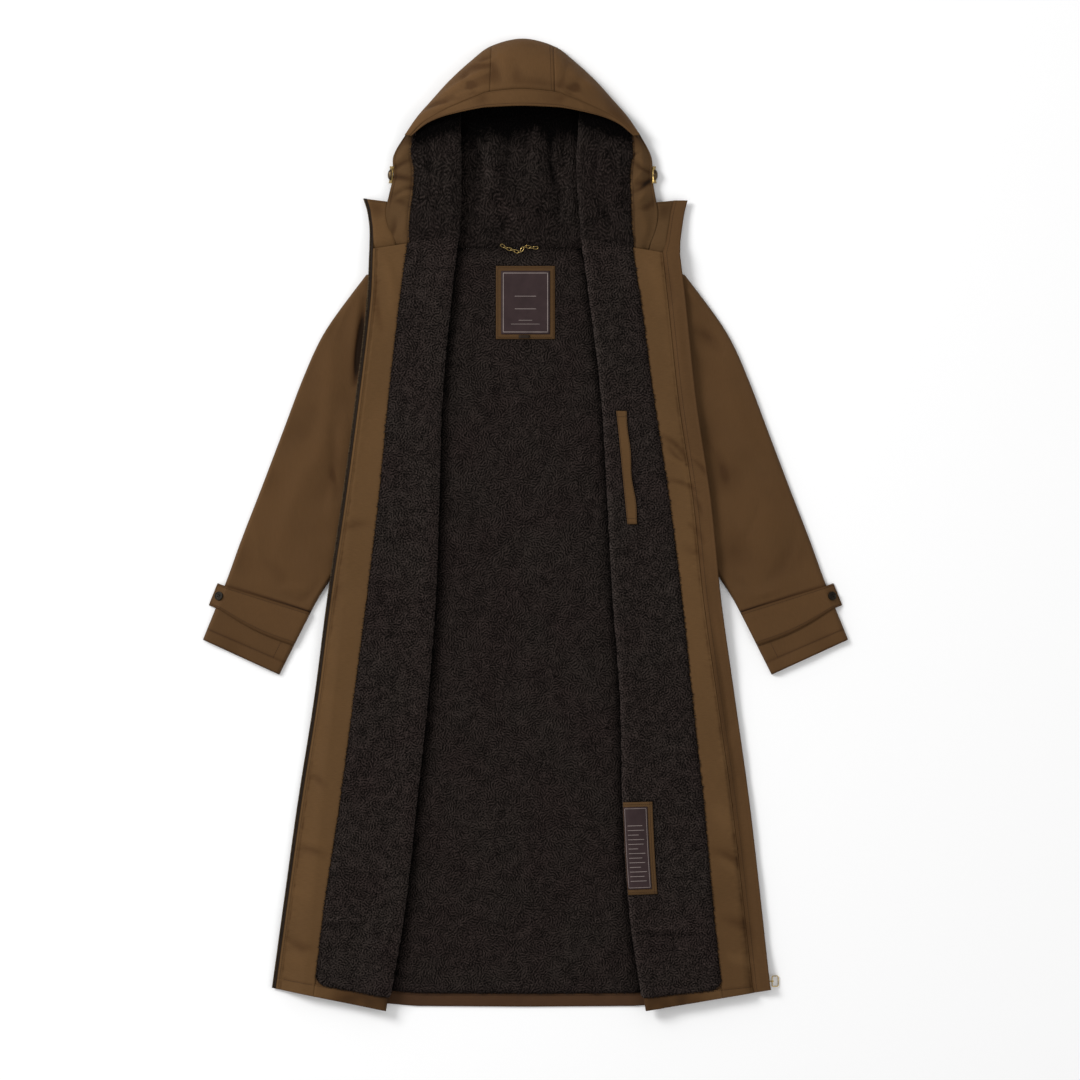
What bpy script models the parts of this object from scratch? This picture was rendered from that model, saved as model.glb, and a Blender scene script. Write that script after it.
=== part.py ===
"""Long hooded waterproof coat that lies flat on its back, both fronts turned back to show the fleece lining.

The tables are in millimetres: "out" is the distance from the coat's middle line, "up" the distance from a line
just below the hem towards the hood. The objects are in metres, +Z up, hood towards +Y, the middle of the coat at
the origin. Each cloth piece is a closed wall between two grids of points, a row of points per section.
"""

import math
from bisect import bisect_right
from collections import namedtuple

import bmesh
import bpy
from mathutils import Matrix, Vector

MM = 0.001
CROWN_UP = 1597.0  # top of the hood
HEM_UP = 1.47  # lowest point of the cloth
MIDDLE_UP = (HEM_UP + CROWN_UP) / 2
GAP = 0.3  # between neighbouring pieces

# Thickness of the cloths
SHELL = 1.2  # proofed cotton
FACING = 1.2
GUARD = 2.4  # two layers sewn together: brim, neck guards
SLEEVE = 3.0  # shell with its thin sleeve lining
STRAP = 1.8
PILE_BACK = 6.5  # fleece of the back
PILE_UNDER = 4.5  # fleece pressed under a turned-back front
PILE_TOP = 6.0  # fleece on top of a turned-back front
PILE_CROWN = 5.0
PATCH = 1.0
LIFT = 0.8  # of a patch over the bend of the fleece
LABEL = 0.8

# Heights of the layers above the surface that the coat lies on
BACK_TOP = SHELL + GAP + PILE_BACK
LOW = BACK_TOP + GAP + PILE_UNDER + GAP + SHELL / 2  # middle of the front shell under the turned-back part
REST = LOW + SHELL + 0.7  # middle of the turned-back shell where it lies flat
LOOP = 4.0  # radius of the front shell's middle round the roll
ROLL_TOP = LOW + 2 * LOOP
ROLL_FALL = 30.0  # how far from the roll the turned-back part settles
BEND = LOOP + SHELL / 2 + GAP + (PILE_UNDER + PILE_TOP) / 2  # roll line to the middle of the bend
HEM_BAND = 22.0
ZIP_TAPE = 6.0
TEETH = 2.6
PLACKET = 29.0
HOOD_RIM = 6.0
SLEEVE_TOP = 9.0
SLEEVE_HEAD = 13.9  # its height where it meets the front at the armhole
HEAD_ROWS = 1.3  # sleeve rows in which it falls from there
SLEEVE_ROUND = 7.0

# Half width of the back at its side seams
SideRow = namedtuple("SideRow", "up out")
SIDE = [
    SideRow(32, 354),
    SideRow(348, 326),
    SideRow(676, 291),
    SideRow(913, 270),
    SideRow(1212, 258),
]
HOOD_SIDE = [
    SideRow(1250, 142),
    SideRow(1290, 170),
    SideRow(1315, 177),
    SideRow(1345, 182),
    SideRow(1385, 185),
    SideRow(1425, 184),
    SideRow(1460, 166),
]
NECK_UP = 1253.0
NECK_OUT = 115.0
# Lower edge of the back from its middle to the side seam
HEM = [SideRow(8.0, 0), SideRow(9.2, 180), SideRow(17.0, 270)]

# A turned-back front or hood side, a row per section: the roll line, the free edge, the width of the facing
# that ends at that edge, the edge's height and how far the under layer wraps to the floor (0 at the armhole)
FoldRow = namedtuple("FoldRow", "roll_up roll_out edge_up edge_out facing edge_z wrap")
LEFT_FRONT = [
    FoldRow(0.8, 225, 39, 416, 70, 2.6, 1),
    FoldRow(171, 197, 184, 396, 68, 2.6, 1),
    FoldRow(341, 178, 348, 373, 70, 2.6, 1),
    FoldRow(510, 160, 512, 347, 66, 4.0, 1),
    FoldRow(676, 147, 676, 325.5, 66, 11.5, 1),
    FoldRow(840, 141, 840, 301, 61, 13.2, 1),
    FoldRow(1005, 136, 1004, 279, 55, 16.0, 0),
    FoldRow(1176, 120.5, 1168, 260, 55, 16.2, 0),
    FoldRow(1273, 109, 1251, 256, 64, 14.0, 0),
]
RIGHT_FRONT = [
    FoldRow(0.8, 193, 36, 403, 80, 2.2, 1),
    FoldRow(22.8, 190, 46, 401, 80, 2.25, 1),
    FoldRow(175, 169, 184, 386, 80, 2.6, 1),
    FoldRow(343, 159, 348, 367, 76, 2.6, 1),
    FoldRow(512, 155, 512, 344, 71, 4.0, 1),
    FoldRow(676, 143, 676, 321, 65, 12.0, 1),
    FoldRow(841, 134, 840, 304, 69, 14.2, 1),
    FoldRow(1007, 124, 1004, 280, 70, 16.2, 0),
    FoldRow(1174, 104, 1168, 262.5, 75, 16.2, 0),
    FoldRow(1268, 91, 1241, 253.5, 80, 15.0, 0),
]
LEFT_HOOD = [
    FoldRow(1273.8, 108.5, 1259.5, 211, 21, 11.0, 1),
    FoldRow(1304, 106, 1291, 225.5, 36, 10.0, 1),
    FoldRow(1327, 105, 1314, 229, 42, 9.5, 1),
    FoldRow(1358, 105, 1340, 224, 41, 9.5, 1),
    FoldRow(1397, 105, 1371, 217, 36, 9.5, 1),
    FoldRow(1440, 106, 1404, 214, 30, 10.5, 1),
    FoldRow(1496, 106, 1431, 198, 18, 12.0, 1),
]
RIGHT_HOOD = [
    FoldRow(1269.5, 90.5, 1251.3, 201, 24, 11.0, 1),
    FoldRow(1302, 89, 1286, 214, 41, 10.0, 1),
    FoldRow(1325, 87, 1312, 217, 45, 9.5, 1),
    FoldRow(1358, 84.5, 1338, 213, 42, 9.5, 1),
    FoldRow(1397, 83, 1369, 208, 38, 9.5, 1),
    FoldRow(1440, 86, 1402, 206, 33, 10.5, 1),
    FoldRow(1496, 89, 1430, 191, 16, 12.0, 1),
]
FRONT_SECTIONS = 15
HOOD_SECTIONS = 8

# Neck guards, a row per section from the neck seam up: inner and outer edge and their heights
GuardRow = namedtuple("GuardRow", "in_up in_out in_z up out z")
LEFT_GUARD = [
    GuardRow(1260.5, 212, 11.0, 1253.6, 250, 13.5),
    GuardRow(1291, 226.5, 10.0, 1289, 250, 10.0),
    GuardRow(1314, 230, 9.5, 1315, 254, 8.0),
    GuardRow(1329, 228, 9.5, 1334, 260, 8.0),
]
RIGHT_GUARD = [
    GuardRow(1251.8, 202, 11.0, 1247.6, 225, 14.0),
    GuardRow(1286, 215, 10.0, 1285, 233, 10.5),
    GuardRow(1312, 218, 9.5, 1311, 236, 9.0),
    GuardRow(1328, 216.5, 9.5, 1331, 236.5, 9.0),
]
# Free edge of the zip tape (left) and of the placket (right) along the neck guards
GuardEdgeRow = namedtuple("GuardEdgeRow", "up out z")
LEFT_GUARD_EDGE = [
    GuardEdgeRow(1270, 255.5, 11.5),
    GuardEdgeRow(1289, 256, 10.0),
    GuardEdgeRow(1315, 260, 8.0),
    GuardEdgeRow(1335, 266.5, 8.0),
]
RIGHT_GUARD_EDGE = [
    GuardEdgeRow(1263, 254, 13.0),
    GuardEdgeRow(1286, 257, 10.5),
    GuardEdgeRow(1311, 261, 9.0),
    GuardEdgeRow(1333, 266.5, 9.0),
]

# Crown of the hood, a row per section from one end of the brim to its middle: foot on the surface, mouth
HOOD_MIDDLE = -5.0
CrownRow = namedtuple("CrownRow", "foot_out foot_up foot_z mouth_out mouth_up mouth_z")
CROWN = [
    CrownRow(193, 1438, 24, 182, 1436, 27),
    CrownRow(173, 1468, 10, 160, 1454, 33),
    CrownRow(149, 1496, 0, 134, 1466, 40),
    CrownRow(120, 1528, 0, 103, 1474, 48),
    CrownRow(84, 1561, 0, 72, 1480, 55),
    CrownRow(51, 1585, 0, 54, 1482, 57),
    CrownRow(0, CROWN_UP, 0, 0, 1484, 60),
]
CENTRE_PANEL_ROW = 5  # the row at the seam of the centre panel
BRIM = 0.25  # share of the way from the mouth to the foot that the brim takes

# Sleeve, a row per section from the armhole to the cuff: its outer and inner edge
SleeveRow = namedtuple("SleeveRow", "up out in_up in_out")
SLEEVES = [
    SleeveRow(1208, 261, 916, 273.5),
    SleeveRow(1163, 299, 881, 278),
    SleeveRow(1102, 337, 840, 283),
    SleeveRow(1036, 366.5, 794, 288.5),
    SleeveRow(958, 396, 753, 299),
    SleeveRow(863, 432, 717, 315.5),
    SleeveRow(774, 466.5, 685.5, 335.5),
    SleeveRow(704, 492, 654, 353),
    SleeveRow(610.5, 529.5, 553, 404),
]
SLEEVE_SECTIONS = 14
ARMHOLE_GAP = 1.8  # from the side seam's line to the sleeve, past the front's own wall
# Cuff strap, in sleeve rows: where it starts and how wide it is at its tab and at the sleeve's inner seam
StrapRow = namedtuple("StrapRow", "start width")
STRAP_TAB, STRAP_SEAM = StrapRow(7.06, 0.40), StrapRow(6.99, 0.58)
STRAP_LIFT = 0.7  # over the sleeve
STRAP_REACH = 11.5  # how far the tab stands past the sleeve's outer edge
STRAP_END_Z = 0.4
BUTTON_RADIUS, BUTTON_HEIGHT = 7.2, 3.0

# Labels, pocket and hanger
NECK_PATCH = (0.0, 1163.5, 97.0, 120.0)  # out, up, width, height
NECK_LABEL = (0.0, 1163.5, 80.0, 104.0)
SIZE_TAB = (-2.0, 1107.4, 18.0, 5.4)
CARE_PATCH = (192.0, 344.0, -11.0, 39.0)  # from up, to up, from and to round the roll, past the bend's top
CARE_LABEL = (201.0, 336.0, -10.0, 30.5)
WELT_UP = (800.0, 986.0)
WELT_FROM, WELT_WIDTH, WELT_LEAN = 31.0, 17.0, -8.0
LINK_LENGTH, LINK_WIDTH, WIRE = 9.4, 6.0, 1.5
LinkRow = namedtuple("LinkRow", "turn roll")
CHAIN_START = (-37.5, 1256.5)
CHAIN = [
    LinkRow(-34, 45),
    LinkRow(6, -45),
    LinkRow(14, 45),
    LinkRow(-4, -45),
    LinkRow(-8, 45),
    LinkRow(48, -45),
    LinkRow(42, 45),
    LinkRow(-46, -45),
    LinkRow(-34, 45),
    LinkRow(10, -45),
    LinkRow(8, 45),
]
CHAIN_Z = BACK_TOP + 2.6

# Metal on the edges
LOCK_LENGTH, LOCK_HEIGHT, LOCK_PLATE, LOCK_DOME = 28.0, 13.0, 2.2, 4.6
LOCK_Z = 8.2
LOCK_UP = 1373.0
SLIDER = (396.0, 50.0, 7.0)  # middle: out, up, height
SLIDER_SIZE = (8.0, 12.0, 7.0)
SLIDER_LIFT = 7.0  # of the placket over it
EYE_OUT, EYE_RADIUS, EYE_WIDTH = 404.6, 2.4, 2.4
RING_LENGTH, RING_WIDTH, RING_WIRE = 11.5, 17.0, 1.8
RING_TILT = 28.0

PALETTE = {
    "shell": ((0.112, 0.061, 0.027), 0.72, 0.0),
    "facing": ((0.114, 0.064, 0.029), 0.74, 0.0),
    "fleece": ((0.018, 0.0135, 0.0115), 0.95, 0.0),
    "tape": ((0.012, 0.009, 0.007), 0.7, 0.0),
    "label": ((0.055, 0.034, 0.033), 0.8, 0.0),
    "brass": ((0.72, 0.52, 0.22), 0.28, 1.0),
    "horn": ((0.018, 0.011, 0.007), 0.35, 0.0),
}


def clear_scene():
    for thing in list(bpy.data.objects):
        bpy.data.objects.remove(thing, do_unlink=True)


def material_of(name, kind):
    colour, roughness, metallic = PALETTE[kind]
    material = bpy.data.materials.new(name)
    material.use_nodes = True
    shader = material.node_tree.nodes["Principled BSDF"]
    shader.inputs["Base Color"].default_value = (*colour, 1)
    shader.inputs["Roughness"].default_value = roughness
    shader.inputs["Metallic"].default_value = metallic
    material.diffuse_color = (*colour, 1)
    return material


def through(keys, values):
    """A smooth function of the key that passes through the values."""
    last = len(keys) - 1
    slopes = []
    for i in range(len(keys)):
        before, after = max(i - 1, 0), min(i + 1, last)
        slopes.append((values[after] - values[before]) / (keys[after] - keys[before]))

    def value(key):
        i = min(max(bisect_right(keys, key) - 1, 0), last - 1)
        span = keys[i + 1] - keys[i]
        t = min(max((key - keys[i]) / span, 0.0), 1.0)
        start = values[i] * (1 + 2 * t) + slopes[i] * span * t
        end = values[i + 1] * (3 - 2 * t) - slopes[i + 1] * span * (1 - t)
        return start * (1 - t) ** 2 + end * t**2

    return value


def columns(rows, keys=None):
    """A smooth function per column of a table, keyed on its first column or on the row number."""
    keys = keys or [row[0] for row in rows]
    return {name: through(keys, [getattr(row, name) for row in rows]) for name in rows[0]._fields}


def ease(t):
    t = min(max(t, 0.0), 1.0)
    return t * t * (3 - 2 * t)


def spread(start, end, count):
    return [start + (end - start) * i / (count - 1) for i in range(count)]


side_out = through([row.up for row in SIDE], [row.out for row in SIDE])
hood_side_out = through([row.up for row in HOOD_SIDE], [row.out for row in HOOD_SIDE])


def world(x, up, z):
    return Vector((x * MM, (up - MIDDLE_UP) * MM, z * MM))


def add_object(name, bm, kind, smooth=True):
    bmesh.ops.recalc_face_normals(bm, faces=bm.faces)
    mesh = bpy.data.meshes.new(name)
    bm.to_mesh(mesh)
    bm.free()
    for face in mesh.polygons:
        face.use_smooth = smooth
    mesh.materials.append(material_of(name, kind))
    made = bpy.data.objects.new(name, mesh)
    bpy.context.scene.collection.objects.link(made)
    return made


def wall(name, inside, outside, kind):
    """A closed wall between two grids of (x, up, z) points; all quads are cut along the same diagonal."""
    bm = bmesh.new()
    high, wide = len(inside), len(inside[0])
    grids = [[[bm.verts.new(world(*p)) for p in row] for row in grid] for grid in (inside, outside)]

    def two_triangles(a, b, c, d):
        bm.faces.new((a, b, c))
        bm.faces.new((a, c, d))

    for grid in grids:
        for i in range(high - 1):
            for j in range(wide - 1):
                two_triangles(grid[i][j], grid[i + 1][j], grid[i + 1][j + 1], grid[i][j + 1])
    rim = [(i, 0) for i in range(high)] + [(high - 1, j) for j in range(1, wide)]
    rim += [(i, wide - 1) for i in range(high - 2, -1, -1)] + [(0, j) for j in range(wide - 2, 0, -1)]
    for (i, j), (k, l) in zip(rim, rim[1:] + rim[:1]):
        two_triangles(grids[0][i][j], grids[1][i][j], grids[1][k][l], grids[0][k][l])
    return add_object(name, bm, kind)


def slab(name, outline, bottom, thickness, kind):
    """A flat panel: its outline is filled and extruded upwards."""
    bm = bmesh.new()
    face = bm.faces.new([bm.verts.new(world(x, up, bottom)) for x, up in outline])
    lifted = bmesh.ops.extrude_face_region(bm, geom=[face])
    top = [v for v in lifted["geom"] if isinstance(v, bmesh.types.BMVert)]
    bmesh.ops.translate(bm, vec=(0, 0, thickness * MM), verts=top)
    return add_object(name, bm, kind, smooth=False)


def tube(bm, path, radius, sides, closed):
    """A round wire of world-space points along a path of world-space points."""
    rings = []
    count = len(path)
    normal = None
    for i, point in enumerate(path):
        after = path[(i + 1) % count] if closed or i < count - 1 else point
        before = path[i - 1] if closed or i else point
        tangent = (after - before).normalized()
        if normal is None:
            normal = tangent.orthogonal().normalized()
        normal = (normal - tangent * normal.dot(tangent)).normalized()
        across = tangent.cross(normal)
        turns = [math.tau * k / sides for k in range(sides)]
        spokes = [(normal * math.cos(a) + across * math.sin(a)) * radius for a in turns]
        rings.append([bm.verts.new(point + spoke) for spoke in spokes])
    pairs = list(zip(rings, rings[1:])) + ([(rings[-1], rings[0])] if closed else [])
    for one, two in pairs:
        for k in range(sides):
            m = (k + 1) % sides
            bm.faces.new((one[k], one[m], two[m], two[k]))
    if not closed:
        bm.faces.new(rings[0])
        bm.faces.new(rings[-1])


def section_normals(path):
    """Unit normals to the left of a path of (s, z) points."""
    found = []
    for i in range(len(path)):
        (s0, z0), (s1, z1) = path[max(i - 1, 0)], path[min(i + 1, len(path) - 1)]
        length = math.hypot(s1 - s0, z1 - z0)
        found.append((-(z1 - z0) / length, (s1 - s0) / length))
    return found


def moved_out(path, distances):
    return [
        (s + ns * d, z + nz * d) for (s, z), (ns, nz), d in zip(path, section_normals(path), distances)
    ]


class Fold:
    """A turned-back front or hood side: the sections and the points that its pieces share."""

    def __init__(self, rows, sign, strip, side, count, first=None):
        self.sign, self.strip, self.side = sign, strip, side
        self.column = columns(rows)
        self.start, self.end = rows[0].roll_up, rows[-1].roll_up
        self.ups = spread(self.start, self.end, count)
        if first:
            self.ups = [self.start, self.start + first] + spread(self.start + first, self.end, count)[1:]

    def frame(self, up):
        """Start, direction and length of the section at this height on the roll line."""
        roll = Vector((self.sign * self.column["roll_out"](up), up))
        edge = Vector((self.sign * self.column["edge_out"](up), self.column["edge_up"](up)))
        return roll, (edge - roll).normalized(), (edge - roll).length

    def place(self, up, path):
        roll, along, _ = self.frame(up)
        return [(*(roll + along * s), z) for s, z in path]

    def marks(self, up):
        """Distances from the roll: under layer's end, facing, start of the flap's fall, edge strip, edge."""
        roll, along, width = self.frame(up)
        side = 0.0
        for _ in range(4):
            side = (self.side(roll.y + along.y * side) - abs(roll.x)) / abs(along.x)
        facing = width - self.column["facing"](up)
        strip = width - self.strip
        fall = min(max(side + 4, facing + 1), strip - 1)
        return side, facing, fall, strip, width

    def height(self, up, s):
        """Height of the turned-back shell's middle."""
        _, _, fall, _, width = self.marks(up)
        z = REST + (ROLL_TOP - REST) * math.exp(-(((s - BEND) / ROLL_FALL) ** 2))
        return z + (self.column["edge_z"](up) - z) * ease((s - fall) / (width - self.strip / 2 - fall))

    def surface(self, up, s):
        """Height of the shell's middle between the points that its wall has, for what lies on it."""
        _, facing, fall, strip, width = self.marks(up)
        stops = [facing, fall, (fall + strip) / 2, strip, (strip + width - 2) / 2, width - 2]
        i = min(max(bisect_right(stops, s) - 1, 0), len(stops) - 2)
        t = (s - stops[i]) / (stops[i + 1] - stops[i])
        return self.height(up, stops[i]) * (1 - t) + self.height(up, stops[i + 1]) * t

    def turned(self, up, end):
        """Path of the shell's middle from the side seam round the roll to a mark on the turned-back layer."""
        side, facing, fall, strip, width = self.marks(up)
        lower = [(s, LOW) for s in spread(side - 3, BEND, 4)]
        bend = []
        for k in range(1, 6):
            a = math.pi * k / 6
            bend.append((BEND - LOOP * math.sin(a), LOW + LOOP - LOOP * math.cos(a)))
        outs = [BEND + (facing - BEND) * share for share in (0, 0.12, 0.3, 0.55, 0.8, 1)]
        if end == "edge":
            outs += [fall, (fall + strip) / 2, strip, (strip + width - 2) / 2, width - 2]
        return lower + bend + [(s, self.height(up, s)) for s in outs]

    def shell(self, name, kind):
        inside, outside = [], []
        for up in self.ups:
            side = self.marks(up)[0]
            wrap = self.column["wrap"](up)
            foot = LOW - (LOW - SHELL / 2 - 0.1) * wrap
            seam = [(side + 0.9, foot), (side + 0.9 - (1 - wrap), LOW - 2.2 * wrap)]
            path = seam + self.turned(up, "edge")
            count = len(path)
            low = moved_out(path, [-SHELL / 2] * count)
            high = moved_out(path, [SHELL / 2] * count)
            inside.append(self.place(up, low))
            outside.append(self.place(up, high))
        return wall(name, inside, outside, kind)

    def cover(self, up, under, top):
        """Paths of the two faces of a layer that lies round the outside of the shell."""
        path = self.turned(up, "facing")
        turn = [min(max((i - 3) / 6, 0), 1) for i in range(len(path))]
        thick = [under + (top - under) * t for t in turn]
        base = SHELL / 2 + GAP
        return moved_out(path, [base] * len(path)), moved_out(path, [base + t for t in thick])

    def lining(self, name, ups, under, top, kind):
        faces = [self.cover(up, under, top) for up in ups]
        inside = [self.place(up, low) for up, (low, _) in zip(ups, faces)]
        outside = [self.place(up, high) for up, (_, high) in zip(ups, faces)]
        return wall(name, inside, outside, kind)

    def outs(self, up, start, end):
        """Distances from the roll of the shell's own points between two marks."""
        side, facing, fall, strip, width = self.marks(up)
        if start == "strip":
            return [strip + GAP, (strip + width - 2) / 2, width]
        inner = [facing + GAP, fall, (fall + strip) / 2]
        return inner + ([strip, width] if end == "edge" else [strip - GAP])

    def strip_rows(self, ups, start, end, base, thick, bump=0.0):
        """The two grids of a strip on the turned-back shell, `thick` at its inner and outer edge."""
        inside, outside = [], []
        for up in ups:
            outs = self.outs(up, start, end)
            low, high = [], []
            for s in outs:
                share = (s - outs[0]) / (outs[-1] - outs[0])
                z = self.surface(up, s) + base + bump * math.sin(math.pi * share) ** 2
                low.append((s, z))
                high.append((s, z + thick[0] + (thick[1] - thick[0]) * share**3))
            inside.append(self.place(up, low))
            outside.append(self.place(up, high))
        return inside, outside

    def on_cover(self, ups, from_to, under, top, lift, thickness):
        """The grids of a piece on the fleece: `from_to` gives its ends round the roll, from the bend's top."""
        keys = self.ups

        def row_at(up):
            i = min(max(bisect_right(keys, up) - 1, 0), len(keys) - 2)
            t = (up - keys[i]) / (keys[i + 1] - keys[i])
            low, high = self.cover(keys[i], under, top)[1], self.cover(keys[i + 1], under, top)[1]
            return [(a + (c - a) * t, b + (d - b) * t) for (a, b), (c, d) in zip(low, high)]

        inside, outside = [], []
        for up in ups:
            row = row_at(up)
            start, end = from_to(up)
            lengths = [0.0]
            for (a, b), (c, d) in zip(row, row[1:]):
                lengths.append(lengths[-1] + math.hypot(c - a, d - b))
            zero = lengths[9]  # the point on top of the bend
            picks = [start] + [v - zero for v in lengths if start + 2 < v - zero < end - 2] + [end]
            path = []
            for pick in picks:
                i = min(max(bisect_right(lengths, pick + zero) - 1, 0), len(row) - 2)
                t = (pick + zero - lengths[i]) / (lengths[i + 1] - lengths[i])
                path.append(tuple(p + (q - p) * t for p, q in zip(row[i], row[i + 1])))
            inside.append(self.place(up, moved_out(path, [lift] * len(path))))
            outside.append(self.place(up, moved_out(path, [lift + thickness] * len(path))))
        return inside, outside


def mirrored(points):
    """A closed outline from its right half, given from the bottom to the top."""
    return points + [(-x, up) for x, up in reversed(points) if x > 1e-6]


def back_outline(inset=0.0, hem=0.0):
    ups = spread(SIDE[0].up + hem, SIDE[-1].up, 17)
    points = [(row.out, row.up + hem) for row in HEM]
    points += [(side_out(up) - inset, up) for up in ups]
    points += [(NECK_OUT, NECK_UP - GAP / 2), (0.0, NECK_UP - GAP / 2)]
    return mirrored(points)


def build_back():
    slab("back_shell", back_outline(inset=0.6), 0.0, SHELL, "shell")
    slab("back_lining", back_outline(inset=1.8, hem=HEM_BAND + GAP), SHELL + GAP, PILE_BACK, "fleece")
    lower = [(row.out, row.up + 0.3) for row in HEM] + [(SIDE[0].out - 3.2, SIDE[0].up + 0.3)]
    upper = [(x, up + HEM_BAND - 0.6) for x, up in reversed(lower)]
    slab("back_hem_band", mirrored(lower + upper), SHELL + GAP, SHELL, "shell")


def guard_strip(rows, sign, width):
    """Grid rows of an edge strip where it runs on along a neck guard."""
    cut = [(row.up, sign * (row.out - width), sign * row.out, row.z) for row in rows]
    return [[(a, up, z), ((a + b) / 2, up, z), (b, up, z)] for up, a, b, z in cut]


def thin_row(points):
    """First, middle and last point of a grid row."""
    return [points[0], points[len(points) // 2], points[-1]]


def build_front(side, sign, rows, strip):
    fold = Fold(rows, sign, strip, side_out, FRONT_SECTIONS, first=HEM_BAND)
    fold.shell(f"front_shell_{side}", "shell")
    above = [fold.ups[1] + GAP] + fold.ups[2:]
    fold.lining(f"front_lining_{side}", above, PILE_UNDER, PILE_TOP, "fleece")
    fold.lining(f"front_hem_band_{side}", fold.ups[:2], SHELL, SHELL, "shell")
    base = SHELL / 2 + GAP
    inside, outside = fold.strip_rows(fold.ups, "facing", "strip", base, (FACING, FACING))
    wall(f"facing_{side}", inside, outside, "facing")
    return fold


def build_left_edge(fold):
    base = SHELL / 2 + GAP
    low, high = fold.strip_rows(fold.ups, "strip", "edge", base, (1.0, TEETH))
    inside, outside = [thin_row(row) for row in low], [thin_row(row) for row in high]
    for row in guard_strip(LEFT_GUARD_EDGE, -1, ZIP_TAPE - GAP):
        inside.append(row)
        outside.append([(x, up, z + t) for (x, up, z), t in zip(row, (1.0, 1.2, TEETH))])
    wall("zip_tape_left", inside, outside, "tape")


def build_right_edge(fold):
    """The placket over the zip tape, lifted over the slider at its foot."""
    base = SHELL / 2 + GAP
    inside, outside = [], []
    for up in fold.ups:
        _, _, _, strip, width = fold.marks(up)
        lift = SLIDER_LIFT * ease(1 - (up - fold.start - HEM_BAND) / 90)
        rises = (0.0, 1.5 + lift, 1.8 + lift, TEETH + 0.8 + lift)
        outs = (strip + GAP, (strip + width - 2) / 2, width - 5, width)
        path = [(s, fold.surface(up, s) + base + rise) for s, rise in zip(outs, rises)]
        inside.append(fold.place(up, path))
        outside.append(fold.place(up, [(s, z + FACING) for s, z in path]))
    for row in RIGHT_GUARD_EDGE:
        points = [(row.out - PLACKET * share, row.up, row.z) for share in (0.8, 0.5, 0.2, 0)]
        inside.append(points)
        outside.append([(x, up, z + FACING) for x, up, z in points])
    wall("placket_right", inside, outside, "shell")
    inside, outside = [], []
    for up in [fold.start + 38.0] + fold.ups[2:]:
        width = fold.frame(up)[2]
        path = [(s, fold.surface(up, s) + base) for s in (width - 14.5, width - 5, width - 1.5)]
        inside.append(fold.place(up, path))
        outside.append(fold.place(up, [(s, z + t) for (s, z), t in zip(path, (1.0, 1.0, TEETH))]))
    wall("zip_tape_right", inside, outside, "tape")


def build_labels(right):
    for name, box, bottom, thickness, kind in (
        ("neck_patch", NECK_PATCH, BACK_TOP + GAP, PATCH, "facing"),
        ("neck_label", NECK_LABEL, BACK_TOP + 2 * GAP + PATCH, LABEL, "label"),
        ("size_tab", SIZE_TAB, BACK_TOP + 2 * GAP + PATCH, LABEL, "tape"),
    ):
        x, up, width, height = box
        turns = ((-1, -1), (1, -1), (1, 1), (-1, 1))
        corners = [(x + sx * width / 2, up + sy * height / 2) for sx, sy in turns]
        slab(name, corners, bottom, thickness, kind)
    first, last, start, end = CARE_PATCH
    grids = right.on_cover(spread(first, last, 3), lambda up: (start, end), PILE_UNDER, PILE_TOP, LIFT, PATCH)
    wall("care_patch", *grids, "facing")
    first, last, start, end = CARE_LABEL
    lift = LIFT + PATCH + GAP
    grids = right.on_cover(spread(first, last, 3), lambda up: (start, end), PILE_UNDER, PILE_TOP, lift, LABEL)
    wall("care_label", *grids, "label")
    low, high = WELT_UP

    def welt(up):
        start = WELT_FROM - BEND + WELT_LEAN * (up - low) / (high - low)
        return start, start + WELT_WIDTH

    grids = right.on_cover(spread(low, high, 4), welt, PILE_UNDER, PILE_TOP, LIFT, PATCH)
    wall("pocket_welt", *grids, "facing")


def build_hood_side(side, sign, rows, guard):
    fold = Fold(rows, sign, HOOD_RIM, hood_side_out, HOOD_SECTIONS)
    fold.shell(f"hood_side_shell_{side}", "shell")
    fold.lining(f"hood_side_lining_{side}", fold.ups, PILE_UNDER, PILE_TOP, "fleece")
    inside, outside = fold.strip_rows(fold.ups, "facing", "edge", SHELL / 2 + GAP, (FACING, FACING), bump=2.2)
    wall(f"hood_facing_{side}", inside, outside, "facing")
    shares = (0, 0.35, 0.7, 1)
    inside = []
    for row in guard:
        start = Vector((sign * row.in_out, row.in_up, row.in_z))
        end = Vector((sign * (row.out - GAP), row.up, row.z))
        inside.append([tuple(start.lerp(end, share)) for share in shares])
    outside = [[(x, up, z + GUARD) for x, up, z in row] for row in inside]
    wall(f"neck_guard_{side}", inside, outside, "facing")


def hood_outline(inset, foot_inset):
    """Outline of the hood's lower layer: neck, side folds and the crown's foot."""
    halves = {}
    for sign in (-1, 1):
        points = [(sign * NECK_OUT, NECK_UP + GAP / 2)]
        points += [(sign * (hood_side_out(up) - inset), up) for up in spread(1262, 1446, 11)]
        for row in CROWN[1:-1]:
            foot = Vector((sign * row.foot_out, row.foot_up))
            mouth = Vector((sign * row.mouth_out, row.mouth_up))
            point = foot + (mouth - foot).normalized() * foot_inset
            points.append((HOOD_MIDDLE + point.x, point.y))
        halves[sign] = points
    top = (HOOD_MIDDLE, CROWN[-1].foot_up - foot_inset)
    return halves[1] + [top] + halves[-1][::-1]


def crown_point(column, row, share):
    """A point of the crown's outer face, by its table row (mirrored past the middle) and share of the way."""
    last = len(CROWN) - 1
    sign = -1 if row <= last else 1
    key = row if row <= last else 2 * last - row
    values = {name: curve(key) for name, curve in column.items()}
    foot = Vector((sign * values["foot_out"], values["foot_up"]))
    mouth = Vector((sign * values["mouth_out"], values["mouth_up"]))
    plan = foot.lerp(mouth, share)
    rise = math.sqrt(share * (2 - share))
    z = max(values["foot_z"], 0.0)
    return Vector((HOOD_MIDDLE + plan.x, plan.y, z + (values["mouth_z"] - z) * rise))


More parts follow.
